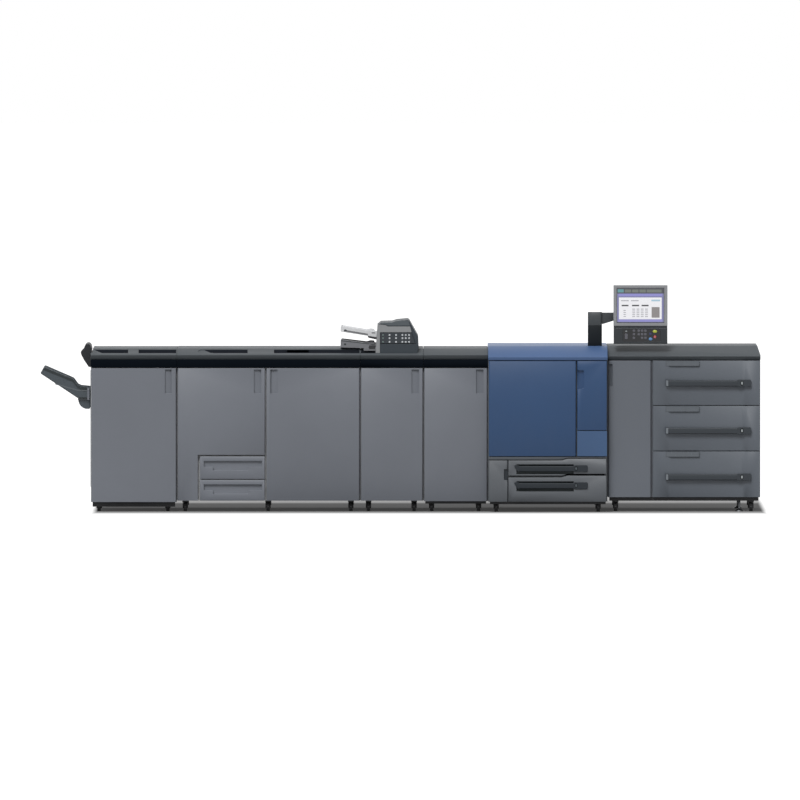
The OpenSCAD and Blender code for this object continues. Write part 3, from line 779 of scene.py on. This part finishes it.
def handle(node, face, z0, z1, out, thick, ramp, slant, lamp_from_right, cap_width, lamp):
    """Bar handle on a slanted ramp and a thick block, with its end cap and lamp."""
    low, high = box(node)
    x0, x1, y, block = low.x, high.x, face - out, high.x - 105
    left = ([(x0 + slant, z0), (x0 + ramp, z0), (x0 + ramp, z1)]
            + arc(x0 + 5, z1 - 5, 5, 90, 180, 3) + [(x0, z0 + slant * 1.3)])
    grip = (arc(y + 8, z0 + 9, 7, 180, 270) + [(y + 1 + thick, z0 + 2), (y + 1 + thick, z1 - 5)]
            + arc(y + 8, z1 - 12, 7, 90, 180))
    built(node + "_bar", "handle_dark" if cap_width else "engine_handle",
          [(left, "y", y, face, None, 1.5), (grip, "x", x0 + ramp - 1, block + 1),
           (rounded(block, x1, z0, z1, 10), "y", y, face, None, 1.5)],
          (), [node], 1.2, body_of[node])
    height = z1 - z0
    form = Form(node + "_details", body_of[node], "cap_grey", lamp, "inset_black")
    if cap_width:
        form.plate(x0 + 2, x0 + cap_width, z0 + 0.08 * height, z1 - 0.08 * height, 6,
                   y - 0.6, y + 1, ease=0.5)
    centre = (x1 - lamp_from_right, y + 0.4, (z0 + z1) / 2)
    size = height * 0.24
    form.turned([(0, 0.4), (size * 1.45, 0.4), (size * 1.6, -1)], centre,
                (0, -1, 0), "inset_black", 28, (0.62, 1.0))
    form.turned([(0, 2.2), (size * 0.6, 2), (size * 0.95, 0.8), (size, -1)],
                centre, (0, -1, 0), lamp, 28, (0.55, 1.0))
    form.done()


def paper_label(node, handle, down):
    """Holder for the paper size card in a drawer's scoop: a thin frame round its bare card."""
    low, high = box(node)
    x0 = box(handle)[0].x + 1
    x1, z1 = x0 + 253, high.z - down
    z0, rim, front = z1 - 40, 1.6, low.y - 0.3
    form = Form(node + "_label", body_of[node], "door_grey", "handle_dark", "label_clear")
    form.plate(x0, x1, z0, z1, 2, front, low.y + 12.4, "door_grey", 0.4, 2)
    form.rim(x0, x1, z0, z1, rim, front - 0.5, front + 0.3, "handle_dark")
    form.plate(x0 + rim, x1 - rim, z0 + rim, z1 - rim, 1, front - 0.25, front + 0.3,
               "label_clear", steps=2)
    form.done()


for level, down, under in (("top", 1, 195), ("middle", 4, 195), ("bottom", 1, 201)):
    node = "feeder_%s_handle" % level
    foot = box(node)[1].z + 130 - under
    handle(node, FRONT, foot, foot + 52, out=26, thick=13, ramp=20, slant=2,
           lamp_from_right=68, cap_width=19, lamp="lamp_pale")
    paper_label("feeder_%s_drawer" % level, node, down)
for node, up in (("engine_upper_handle", 6), ("engine_lower_handle", 8)):
    foot = box(node)[0].z + up
    handle(node, ENGINE_FRONT + 1, foot, foot + 50, out=10.6, thick=8, ramp=34, slant=30,
           lamp_from_right=87, cap_width=0, lamp="lamp_off")


# ---------------------------------------------------------------- doors, bays and drawers

# Each door: its hinged side, and the insets from the door's box to the inner cover of its bay
# (left, right, bottom, top)
DOORS = {
    "finisher_door": ("left", (43, 43, 62, 48)),
    "binder_left_door": ("left", (43, 43, 385, 48)),
    "binder_right_door": ("right", (43, 43, 48, 48)),
    "folder_door": ("left", (43, 43, 48, 48)),
    "relay_door": ("left", (43, 43, 48, 48)),
    "engine_left_door": ("left", (43, 44, 42, 48)),
    "engine_right_door": ("right", (44, 43, 45, 48)),
    "engine_small_door": ("left", (36, 40, 40, 36)),
    "feeder_door": ("right", (43, 43, 48, 48)),
}
# From a door's outer face: its back, its bay's frame and the bay's inner cover
DOOR_BACK, BAY_FRONT, BAY_BACK = 30, 40, 120


def catches(node, side):
    """The place across of a door's two magnet catches, and their heights."""
    low, high = box(node)
    bottom = low.z + 40
    if node == "binder_left_door":
        bottom = box("binder_upper_drawer")[1].z + 60
    return high.x - 17 if side == "left" else low.x + 17, (bottom, high.z - 40)


def door_liner(node, side):
    """Pressed inner panel of a door with stiffening beads, and its two magnet plates."""
    low, high = box(node)
    left = low.x + (46 if side == "left" else 34)
    right = high.x - (34 if side == "left" else 46)
    bottom, top, back = low.z + 16, high.z - 16, low.y + DOOR_BACK
    form = Form(node + "_liner", body_of[node], "liner_white", "plate_zinc", "screw_zinc")
    if node == "binder_left_door":
        # The binding module's drawers take this door's lower right corner
        drawer_low, drawer_high = box("binder_upper_drawer")
        edge, sill = drawer_low.x - 34, drawer_high.z + 26
        outline = [(left, bottom), (edge, bottom), (edge, sill), (right, sill), (right, top),
                   (left, top)]
        bead_bottom = sill + 30
    else:
        outline = rounded(left, right, bottom, top, 10)
        bead_bottom = bottom + 40
    form.prism(outline, "y", back + 1.6, back - 0.2)
    for share in (0.25, 0.75):
        x = left + share * (right - left)
        form.plate(x - 8, x + 8, bead_bottom, top - 40, 7.9, back + 3, back + 1.5, ease=1.3)
    x, levels = catches(node, side)
    for z in levels:
        form.plate(x - 8, x + 8, z - 17, z + 17, 2, back + 1.2, back - 0.2, "plate_zinc", 0.4)
        screws(form, [(x, back + 1.1, z)], (0, 1, 0), "screw_zinc", 0.8)
    form.done()


def bay(node, side, insets):
    """Magnet catches on the cabinet's frame, and the screwed cover on the back of the bay."""
    low, high = box(node)
    y, back = low.y + BAY_FRONT, low.y + BAY_BACK
    form = Form(node + "_bay", "line", "liner_white", "magnet_black", "plate_zinc", "screw_zinc")
    x, levels = catches(node, side)
    for z in levels:
        form.plate(x - 9, x + 9, z - 22, z + 22, 3, y - 2.6, y + 0.2, "magnet_black", 0.6)
        for pole in (z - 5, z + 5):
            form.plate(x - 6, x + 6, pole - 1.2, pole + 1.2, 0.5, y - 2.9, y - 2.4,
                       "plate_zinc", steps=2)
    x0, x1 = low.x + insets[0], high.x - insets[1]
    z0, z1 = low.z + insets[2], high.z - insets[3]
    split = z0 + 0.58 * (z1 - z0)
    for bottom, top in ((z0, split - 1.5), (split + 1.5, z1)):
        form.plate(x0, x1, bottom, top, 6, back - 1.6, back + 0.3, ease=0.4)
        form.plate(x0 + 26, x1 - 26, bottom + 26, top - 26, 12, back - 3, back - 1.5, ease=1.3)
        screws(form, [(x, back - 1.5, z) for x in (x0 + 12, x1 - 12)
                      for z in (bottom + 12, top - 12)], (0, -1, 0), "screw_zinc")
    form.done()


def drawer_plate(node):
    """Lift plate on the floor of a drawer's box, with its finger notch and pads."""
    low, high = box(node)
    floor = low.z + 24
    x0, x1 = low.x + 40, high.x - 40
    y0, y1 = low.y + 46, low.y + 540
    mid, notch = (x0 + x1) / 2, 0.12 * (x1 - x0)
    form = Form(node + "_plate", body_of[node], "plate_zinc", "magnet_black")
    form.prism([(x0, y0), (mid - notch, y0), (mid - notch * 0.7, y0 + 46),
                (mid + notch * 0.7, y0 + 46), (mid + notch, y0), (x1, y0), (x1, y1), (x0, y1)],
               "z", floor + 1.2, floor - 0.2)
    for x in (mid - 2.2 * notch, mid + 2.2 * notch):
        form.prism(rounded(x - 22, x + 22, y0 + 30, y0 + 60, 4), "z",
                   floor + 1.7, floor + 1.1, "magnet_black")
    form.done()


for node, (side, insets) in DOORS.items():
    door_liner(node, side)
    bay(node, side, insets)
for node in ("binder_upper_drawer", "binder_lower_drawer", "engine_upper_drawer",
             "engine_lower_drawer", "feeder_top_drawer", "feeder_middle_drawer",
             "feeder_bottom_drawer"):
    drawer_plate(node)


# ---------------------------------------------------------------- inserter and trays

# Left corner of the inserter's front on the deck, and its front and back
INS_X = box("inserter_upper_tray")[0].x + 273
INS_Y = (box("inserter_button_panel")[0].y, box("inserter_body")[1].y)
INS_SIDE = [(-10, -34), (5, 180)]
# Left face of the line, root and tip of the stack tray, its half width and its walls' thickness
EXIT_X = SPAN["finisher"][0]
ROOT = EXIT_X - 10
TIP = box("stack_tray")[0].x
TRAY_SIDE, WALL = 205, 16
# Upper and lower line of the stack tray's walls
BEND = arc(ROOT - 153, 956, 45, 66, 30, 3)
TRAY_TOP = ([(TIP + 24, 1083), (TIP + 32, 1085)] + BEND
            + [(ROOT - 92, 948), (ROOT - 70, 937), (ROOT - 17, 932), (ROOT, 930)])
TRAY_UNDER = [(ROOT, 850), (ROOT - 92, 852), (TIP + 6, 1032), (TIP, 1040)]


def on_deck(points):
    """Front outline given from the inserter's left corner on the deck."""
    return [(INS_X + a, DECK + b) for a, b in points]


def strip(points, near, far):
    """Outline between two distances below a line of points."""
    return [(x, z - near) for x, z in points] + [(x, z - far) for x, z in reversed(points)]


def level_of(line, x):
    """Height of a line of points at x."""
    for (a, za), (b, zb) in zip(line, line[1:]):
        if min(a, b) <= x <= max(a, b) and a != b:
            return za + (zb - za) * (x - a) / (b - a)


def seat(below_body=False):
    """What the cover's slope and deck, and the inserter, take away from whatever meets them."""
    cuts = [([(FRONT - 30, DECK - 60), (FRONT + 1000, DECK - 60), (FRONT + 1000, DECK),
              (FRONT + COVER_RUN, DECK), (FRONT + COVER_RUN - 10, DECK - 2),
              (FRONT + 2, LIP + 2), (FRONT - 30, LIP)], "x", INS_X - 300, INS_X + 340)]
    if below_body:
        cuts.append((on_deck(INS_SIDE + [(60, 180), (60, -34)]), "y", INS_Y[0] - 10,
                     INS_Y[1] + 10))
    return cuts


def inserter():
    """Body with its lid front, light front cover, button panel and keys."""
    y0, y1 = INS_Y
    block = (INS_SIDE + arc(40, 168, 29, 150, 95, 3) + [(116, 199), (150, 210)]
             + arc(228, 194, 23, 90, 30, 3) + [(312, 90), (315, 20), (308, -34)])
    rebate = [(27, 40), (290, 40), (262, 122), (27, 122)]
    lid = [(84, 174), (250, 174), (240, 206), (230, 214), (152, 209), (116, 199), (40, 196),
           (16, 186), (70, 182)]
    base = [(25, -34), (306, -34), (312, 20), (304, 36), (25, 36)]
    cover = [(-10, -34), (24, -34), (24, 124), (262, 124), (251, 168), (83, 168), (68, 178),
             (12, 184), (5, 180)]
    built("inserter_block", "inserter_dark", [(on_deck(block), "y", y0 + 7, y1)],
          [(on_deck(rebate), "y", y0 - 5, y0 + 13)] + seat(), ["inserter_body"])
    # The lid's lighter grey is partly its own tone and partly a painted highlight
    built("inserter_lid", "lid_grey_and_painted_highlight", [(on_deck(lid), "y", y0 + 1, y0 + 7.5)])
    built("inserter_base", "inserter_dark", [(on_deck(base), "y", y0 - 4, y0 + 7.5)], seat())
    built("inserter_side_cover", "inserter_grey", [(on_deck(cover), "y", y0, y0 + 7.5)], seat())
    keys = Form("inserter_keys", "line", "key_pale", "key_dim", "inset_black", "handle_dark")
    keys.prism(on_deck([(28, 41), (289, 41), (261, 121), (28, 121)]), "y", y0 + 2, y0 + 13.5,
               "handle_dark", 1)
    for x in (47, 96, 145, 193, 218, 243):
        for z in (52, 80, 104):
            place = (INS_X + x, y0 + 2.3, DECK + z)
            keys.turned([(0, 0.8), (9.2, 0.8), (9.8, 0), (9.8, -0.6)], place, (0, -1, 0),
                        "inset_black")
            keys.turned([(0, 3.4), (6, 3.4), (7.1, 2.9), (7.1, 0)], place, (0, -1, 0),
                        "key_dim" if x == 47 else "key_pale")
    keys.done(["inserter_button_panel"])


def feed_tray(name, finish, outer, root, ys, foot, node):
    """Tray inclined down to the inserter, [x, top, underside] at both ends, with its foot.

    The foot is given by its finish, outline, front and back."""
    (x0, top0, under0), (x1, top1, under1), (y0, y1) = outer, root, ys
    fall = (top1 - top0) / (x1 - x0)
    shell = [(x0, under0), (x1, under1), (x1, top1), (x0 + 8, top0), (x0, top0 - 8)]
    inside = [(x0 + 12, top0 - 8), (x1 + 1, top1 - 8), (x1 + 1, top1 + 20), (x0 + 12, top0 + 20)]
    guide = [(x1 - back, top1 - drop * fall + rise) for back, drop, rise in
             ((92, 92, -11), (22, 22, -11), (22, 22, 14), (50, 50, 14), (92, 92, -2))]
    built(name, finish, [(on_deck(shell), "y", y0, y1)],
          seat(True) + [(on_deck(inside), "y", y0 + 7, y1 - 7)], [node])
    built(name + "_guides", finish,
          [(on_deck(guide), "y", y, y + 6) for y in (y0 + 70, y1 - 76)], edge=1.2)
    built(name + "_foot", foot[0], [(on_deck(foot[1]), "y", foot[2], foot[3])], seat(True))


def trays():
    """Upper tray with its bracket, and lower tray with the foot that rests on the slope."""
    y0, y1 = INS_Y[0] + 60, INS_Y[1] - 100
    bracket = [(-70, 92), (-62, 80), (4, 66), (4, 86), (-60, 96)]
    feed_tray("upper_tray", "tray_pale", (-273, 168, 128), (4, 122, 84), (y0, y1),
              ("bracket_grey", bracket, y0 + 20, y1 - 20), "inserter_upper_tray")
    y0, y1 = INS_Y[0] + 40, INS_Y[1] - 80
    rest = arc(-78, -4, 22, 180, 250) + [(4, -34), (4, 2), (-96, 10)]
    feed_tray("lower_tray", "tray_grey", (-273, 66, 8), (4, 34, 0.5), (y0, y1),
              ("tray_grey", rest, y0 - 2, y0 + 30), "inserter_lower_tray")


def exit_unit():
    """Rounded exit unit with its slot and four rollers."""
    x, z = EXIT_X, COVER
    hood = ([(x + 1.5, z - 60), (x + 1.5, z - 1), (x + 0.5, z), (x + 0.5, z + 50),
             (x + 4, z + 60), (x + 4, z + 77)] + arc(x - 24, z + 88, 25, 0, 170, 7)
            + [(x - 52, z + 80), (x - 57, z + 72), (x - 77, z + 52), (x - 71, z + 30),
               (x - 50, z - 10), (x - 16, z - 60)])
    slot = [(x - 80, z + 56), (x - 30, z + 54), (x - 30, z + 61), (x - 80, z + 70)]
    built("exit_hood", "exit_dark", [(hood, "y", -235, 235)], [(slot, "y", -221, 221)],
          ["finisher_exit_unit"])
    rollers = Form("exit_rollers", "line", "wheel_rubber")
    for y in range(-150, 151, 100):
        rollers.turned([(0, 15), (8, 15), (9, 14), (9, -14), (8, -15), (0, -15)],
                       (x - 38, y, z + 55), (0, 1, 0), segments=20)
    rollers.done()


def stack_tray():
    """Tray walls with a sunk band, a ribbed deck, cross ribs, and the carriage on the rails."""
    y0, y1 = -TRAY_SIDE, TRAY_SIDE
    inner = (y0 + WALL - 1, y1 - WALL + 1)
    side = TRAY_TOP + TRAY_UNDER
    band = strip(TRAY_TOP, 9, 34)
    built("tray_walls", "tray_dark", [(side, "y", y0, y0 + WALL), (side, "y", y1 - WALL, y1)],
          [(band, "y", y0 - 1, y0 + 3), (band, "y", y1 - 3, y1 + 1)], ["stack_tray"],
          body="stack_tray")
    deck = [(strip(TRAY_TOP, 8, 20), "y", *inner)]
    deck += [(strip(TRAY_TOP, 4, 12), "y", y - 3, y + 3) for y in range(-140, 141, 56)]
    for x in (TIP + 60, ROOT - 230, ROOT - 150, ROOT - 60):
        under, top = level_of(TRAY_UNDER, x), level_of(TRAY_TOP, x) - 16
        deck.append((rect(x, x + 5, under, top), "y", *inner))
    deck.append((rect(ROOT - 16, ROOT, 850, 925), "y", *inner))
    built("tray_deck", "tray_dark", deck, edge=0.8, body="stack_tray")
    belly = [(ROOT, 768), (ROOT, 832.5), (ROOT - 84, 832.5)] + arc(ROOT - 14, 838, 72, 190, 256)
    carriage = [(rect(ROOT - 88, ROOT, 832, 856), "y", y0 + 24, y1 - 24),
                (belly, "y", y0 + 30, y1 - 30)]
    for y in (-150, 150):
        carriage.append((rect(ROOT - 0.5, EXIT_X - 4.5, 782, 926), "y", y - 30, y + 30))
        carriage += [(rect(ROOT, EXIT_X - 1.5, 782, 926), "y", a - 3.5, a + 3.5)
                     for a in (y - 26.5, y + 26.5)]
    built("tray_carriage", "tray_dark", carriage, body="stack_tray")


def tray_pads_and_painted_shade():
    """The inserter trays' pads, and painted shade on their near sides: a grey band along the upper
    tray's lower edge, a dark band along the lower tray's top edge and a black painted shadow in the
    hollow above the lower tray's foot.
    """
    form = Form("tray_pads_and_painted_shade", "line", "bracket_grey", "inset_black", "tray_shadow")
    x, z, face = INS_X - 273, DECK, INS_Y[0] + 60
    pad = [(0, 1), (6, 1), (7.5, 0.2), (7.5, -0.5)]
    # Grey band along the upper tray's lower edge: painted shade under its bevel
    form.prism(strip([(x + 26, z + 142), (x + 206, z + 112)], 0, 13), "y", face - 0.5, face + 0.3)
    form.turned(pad, (x + 36, face - 0.2, z + 138), (0, -1, 0), "tray_shadow", 20, (1.5, 0.8))
    form.plate(x + 234, x + 262, z + 114, z + 122, 3, face - 0.5, face + 0.3)
    face = INS_Y[0] + 40
    form.turned(pad, (x + 34, face - 0.2, z + 33), (0, -1, 0), "tray_shadow", 20, (1.2, 1.0))
    # Dark band along the lower tray's top edge: painted shade
    form.prism(strip([(x + 6, z + 64), (x + 258, z + 35)], 1.5, 7), "y", face - 0.4, face + 0.3,
               "tray_shadow")
    # Black plate in the hollow above the lower tray's foot: painted shadow
    hollow = [(x + 210, z + 5), (x + 218, z - 3), (x + 258, z - 3), (x + 262, z + 26),
              (x + 216, z + 24)]
    form.prism(hollow, "y", face - 2.4, face + 0.4, "inset_black")
    form.done()


def tray_details():
    """Painted shade along the walls' top edges and undersides, a lighter rib strip, clamps and
    carriage trim along both sides of the stack tray.
    """
    form = Form("stack_tray_details", "stack_tray", "tray_shadow", "tray_light", "door_grey",
                "screw_zinc")
    edge = [(TIP + 26, 1083)] + BEND + [(ROOT - 92, 948), (ROOT - 70, 937), (ROOT - 2, 931)]
    lower = [(TIP + 9, 1037), (ROOT - 92, 858), (ROOT - 18, 857)]
    rib = [(ROOT - 260, 962), (ROOT - 86, 913), (ROOT - 19, 911)]
    # The tray_shadow strips are painted shade: under the top edge over the sunk band, and along the
    # underside
    # Outline, how far from the wall's face it stands proud and goes in, and its finish
    plates = ((strip(edge, 1, 20), 0, 0.4, 3.2, "tray_shadow"),
              (strip(lower, 0, 5), 0, 0.4, 0.3, "tray_shadow"),
              (strip(rib, 0, 8), 0, 0.9, 0.3, "tray_light"),
              (rounded(ROOT - 17, ROOT - 1, 836, 929, 2, 2), 0, 1.4, 0.3, "door_grey"),
              (rounded(ROOT - 87, ROOT - 1, 833, 849, 2, 2), 24, 0.6, 0.3, "tray_light"))
    for side in (-1, 1):
        for outline, inside, proud, depth, finish in plates:
            face = side * (TRAY_SIDE - inside)
            form.prism(outline, "y", face + side * proud, face - side * depth, finish)
        screws(form, [(ROOT - 9, side * (TRAY_SIDE + 1.3), z) for z in (850, 915)],
               (0, side, 0), "screw_zinc", 0.9)
    form.done()


def grip_painted_shade():
    """Dark plate on the floor of the engine's small door's grip: painted shade for the recess."""
    low, high = box("engine_small_door")
    form = Form("small_door_grip_painted_shade", body_of["engine_small_door"], "engine_handle")
    form.plate(high.x - 27.4, high.x - 1, high.z - 147.4, high.z - 66.6, 3, low.y + 12,
               low.y + 18.3)
    form.done()


grip_painted_shade()
inserter()
trays()
exit_unit()
stack_tray()
tray_pads_and_painted_shade()
tray_details()


# ---------------------------------------------------------------- joints between the modules

# The widest back that one cover closes
ONE_COVER = 700


def module_seals():
    """Foam strips that close the gaps between neighbouring cabinets and covers."""
    form = Form("module_seals", "line", "seal_grey")
    for pair in zip(MODULES, MODULES[1:]):
        (low, high), (next_low, next_high) = [box(module + "_cabinet") for module in pair]
        x0, x1, y = high.x - 0.3, next_low.x + 0.3, max(low.y, next_low.y)
        form.prism([(x0, y + 4), ((x0 + x1) / 2, y + 2.5), (x1, y + 4), (x1, y + 12),
                    (x0, y + 12)], "z", max(low.z, next_low.z) + 2, min(high.z, next_high.z))
        (low, high), (next_low, next_high) = [box(module + "_top_cover") for module in pair]
        y, top = max(low.y, next_low.y), min(high.z, next_high.z)
        form.prism([(y + 60, low.z), (y + 160, low.z), (y + 160, top - 3), (y + 130, top - 4),
                    (y + 60, top - 32)], "x", high.x - 0.3, next_low.x + 0.3)
    form.done()


def back_panels():
    """Screwed covers on the backs of all modules."""
    form = Form("back_covers", "line", "rear_grey")
    fixings = Form("cover_screws", "line", "screw_zinc")
    for module in MODULES:
        left, right = SPAN[module]
        low, high = box(module + "_cabinet")
        z0, z1, y = low.z + 14, COVER - 18, high.y
        count = 2 if right - left > ONE_COVER else 1
        width = (right - left - 20) / count
        for i in range(count):
            x0, x1 = left + 13 + i * width, left + 7 + (i + 1) * width
            form.plate(x0, x1, z0, z1, 6, y + 1.6, y - 0.5, ease=0.5, steps=2)
            screws(fixings, [(x, y + 1.4, z) for z in (z0 + 16, (z0 + z1) / 2, z1 - 16)
                             for x in (x0 + 14, x1 - 14)], (0, 1, 0), "screw_zinc", 1.1)
    form.done()
    fixings.done()


def wheel_caps():
    """Pressed caps over the ends of the casters' axles."""
    form = Form("axle_caps", "line", "caster_steel")
    for low, high in islands("caster_wheels"):
        for y, way in ((low.y, -1), (high.y, 1)):
            form.turned([(0, 1.6), (4, 1.4), (6, 0.4), (6, -0.3)],
                        ((low.x + high.x) / 2, y, (low.z + high.z) / 2), (0, way, 0), segments=16)
    form.done()


module_seals()
back_panels()
wheel_caps()


# ---------------------------------------------------------------- stage, light and camera

def stage_node(tree, kind, output, inputs, **settings):
    """Adds a node, sets or joins its inputs, and gives one of its outputs."""
    made = tree.nodes.new("ShaderNode" + kind)
    for key, value in settings.items():
        setattr(made, key, value)
    for key, value in inputs.items():
        if isinstance(value, bpy.types.NodeSocket):
            tree.links.new(value, made.inputs[key])
        else:
            made.inputs[key].default_value = value
    return made.outputs[output]


def larger(tree, a, b):
    return stage_node(tree, "Math", "Value", {0: a, 1: b}, operation="MAXIMUM")


def seeing_rays(tree):
    """1 for the rays by which the camera, gloss and glass see the background, else 0."""
    path = tree.nodes.new("ShaderNodeLightPath")
    seen = path.outputs["Is Camera Ray"]
    for ray in ("Is Glossy Ray", "Is Transmission Ray"):
        seen = larger(tree, seen, path.outputs[ray])
    return seen


def stage_floor():
    """Floor that the camera sees white, but for the object's shadow round its foot, whose soft edges
    and paler strip behind are painted by fades laid out by place.
    """
    mesh = bpy.data.meshes.new("floor")
    size = 150.0
    mesh.from_pydata([(-size, -size, 0), (size, -size, 0), (size, size, 0), (-size, size, 0)],
                     [], [(0, 1, 2, 3)])
    floor = bpy.data.objects.new("floor", mesh)
    bpy.context.scene.collection.objects.link(floor)
    material = bpy.data.materials.new("floor_white")
    material.use_nodes = True
    tree = material.node_tree
    tree.nodes.clear()
    seen = seeing_rays(tree)
    tint = stage_node(tree, "Mix", "Result", {"Factor": seen, "A": (0.35, 0.35, 0.35, 1),
                                              "B": (0.30, 0.30, 0.30, 1)}, data_type="RGBA")
    # Away from the object the camera sees plain white; near it the lift fades out by place, which
    # paints the soft edges of the shadow round the foot and, at level 0.22, a paler strip behind the
    # object
    spot = stage_node(tree, "TexCoord", "Object", {})
    left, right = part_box("finisher_cabinet")[0].x, cad_box[1].x
    front = cad_box[0].y
    lift = 0.045
    for axis, start, stop, level in (
            ("X", left + 0.06, left - 0.01, 1.0), ("X", right, right + 0.06, 1.0),
            ("Y", front + 0.12, front - 0.46, 1.0), ("Y", 1.0, 1.4, 0.22), ("Y", 2.4, 3.4, 1.0)):
        along = stage_node(tree, "SeparateXYZ", axis, {0: spot})
        shadow_edge_fade = stage_node(tree, "MapRange", "Result", {
            "Value": along, "From Min": start, "From Max": stop, "To Max": level},
            interpolation_type="SMOOTHSTEP")
        lift = larger(tree, lift, shadow_edge_fade)
    level = stage_node(tree, "Math", "Value", {0: lift, 1: seen}, operation="MULTIPLY")
    diffuse = stage_node(tree, "BsdfDiffuse", "BSDF", {"Color": tint})
    glow = stage_node(tree, "Emission", "Emission", {"Strength": level})
    both = stage_node(tree, "AddShader", "Shader", {0: diffuse, 1: glow})
    out = tree.nodes.new("ShaderNodeOutputMaterial")
    tree.links.new(both, out.inputs["Surface"])
    mesh.materials.append(material)


def world_light(strength):
    """Even studio light; the camera, gloss and glass see plain white."""
    world = bpy.data.worlds.new("studio")
    bpy.context.scene.world = world
    world.use_nodes = True
    tree = world.node_tree
    back = tree.nodes["Background"]
    back.inputs["Color"].default_value = (1, 1, 1, 1)
    level = stage_node(tree, "MapRange", "Result", {
        "Value": seeing_rays(tree), "To Min": strength, "To Max": 1.0})
    tree.links.new(level, back.inputs["Strength"])


def sun(place, target, strength, spread):
    """Soft light from far off, along the line from a place to a target."""
    data = bpy.data.lights.new("key", "SUN")
    data.energy = strength
    data.angle = math.radians(spread)
    obj = bpy.data.objects.new("key", data)
    aim = Vector(target) - Vector(place)
    obj.location = place
    obj.rotation_euler = aim.to_track_quat("-Z", "Y").to_euler()
    bpy.context.scene.collection.objects.link(obj)


stage_floor()
world_light(strength=0.30)
sun(place=(-3.5, -11.5, 12.0), target=(0, -0.2, 0.6), strength=2.05, spread=26)

LENS, SENSOR = 800.0, 36.0
FRAME_WIDTH = 6.0390
ELEVATION = math.radians(2.0)
TARGET = Vector((-0.0023, 0.0, 0.829))
distance = FRAME_WIDTH * LENS / SENSOR
data = bpy.data.cameras.new("camera")
data.lens = LENS
data.sensor_width = SENSOR
data.clip_end = 600.0
camera = bpy.data.objects.new("camera", data)
camera.location = TARGET + distance * Vector((0, -math.cos(ELEVATION), math.sin(ELEVATION)))
camera.rotation_euler = (math.pi / 2 - ELEVATION, 0, 0)
bpy.context.scene.collection.objects.link(camera)
bpy.context.scene.camera = camera
bpy.context.scene.view_settings.view_transform = "Standard"
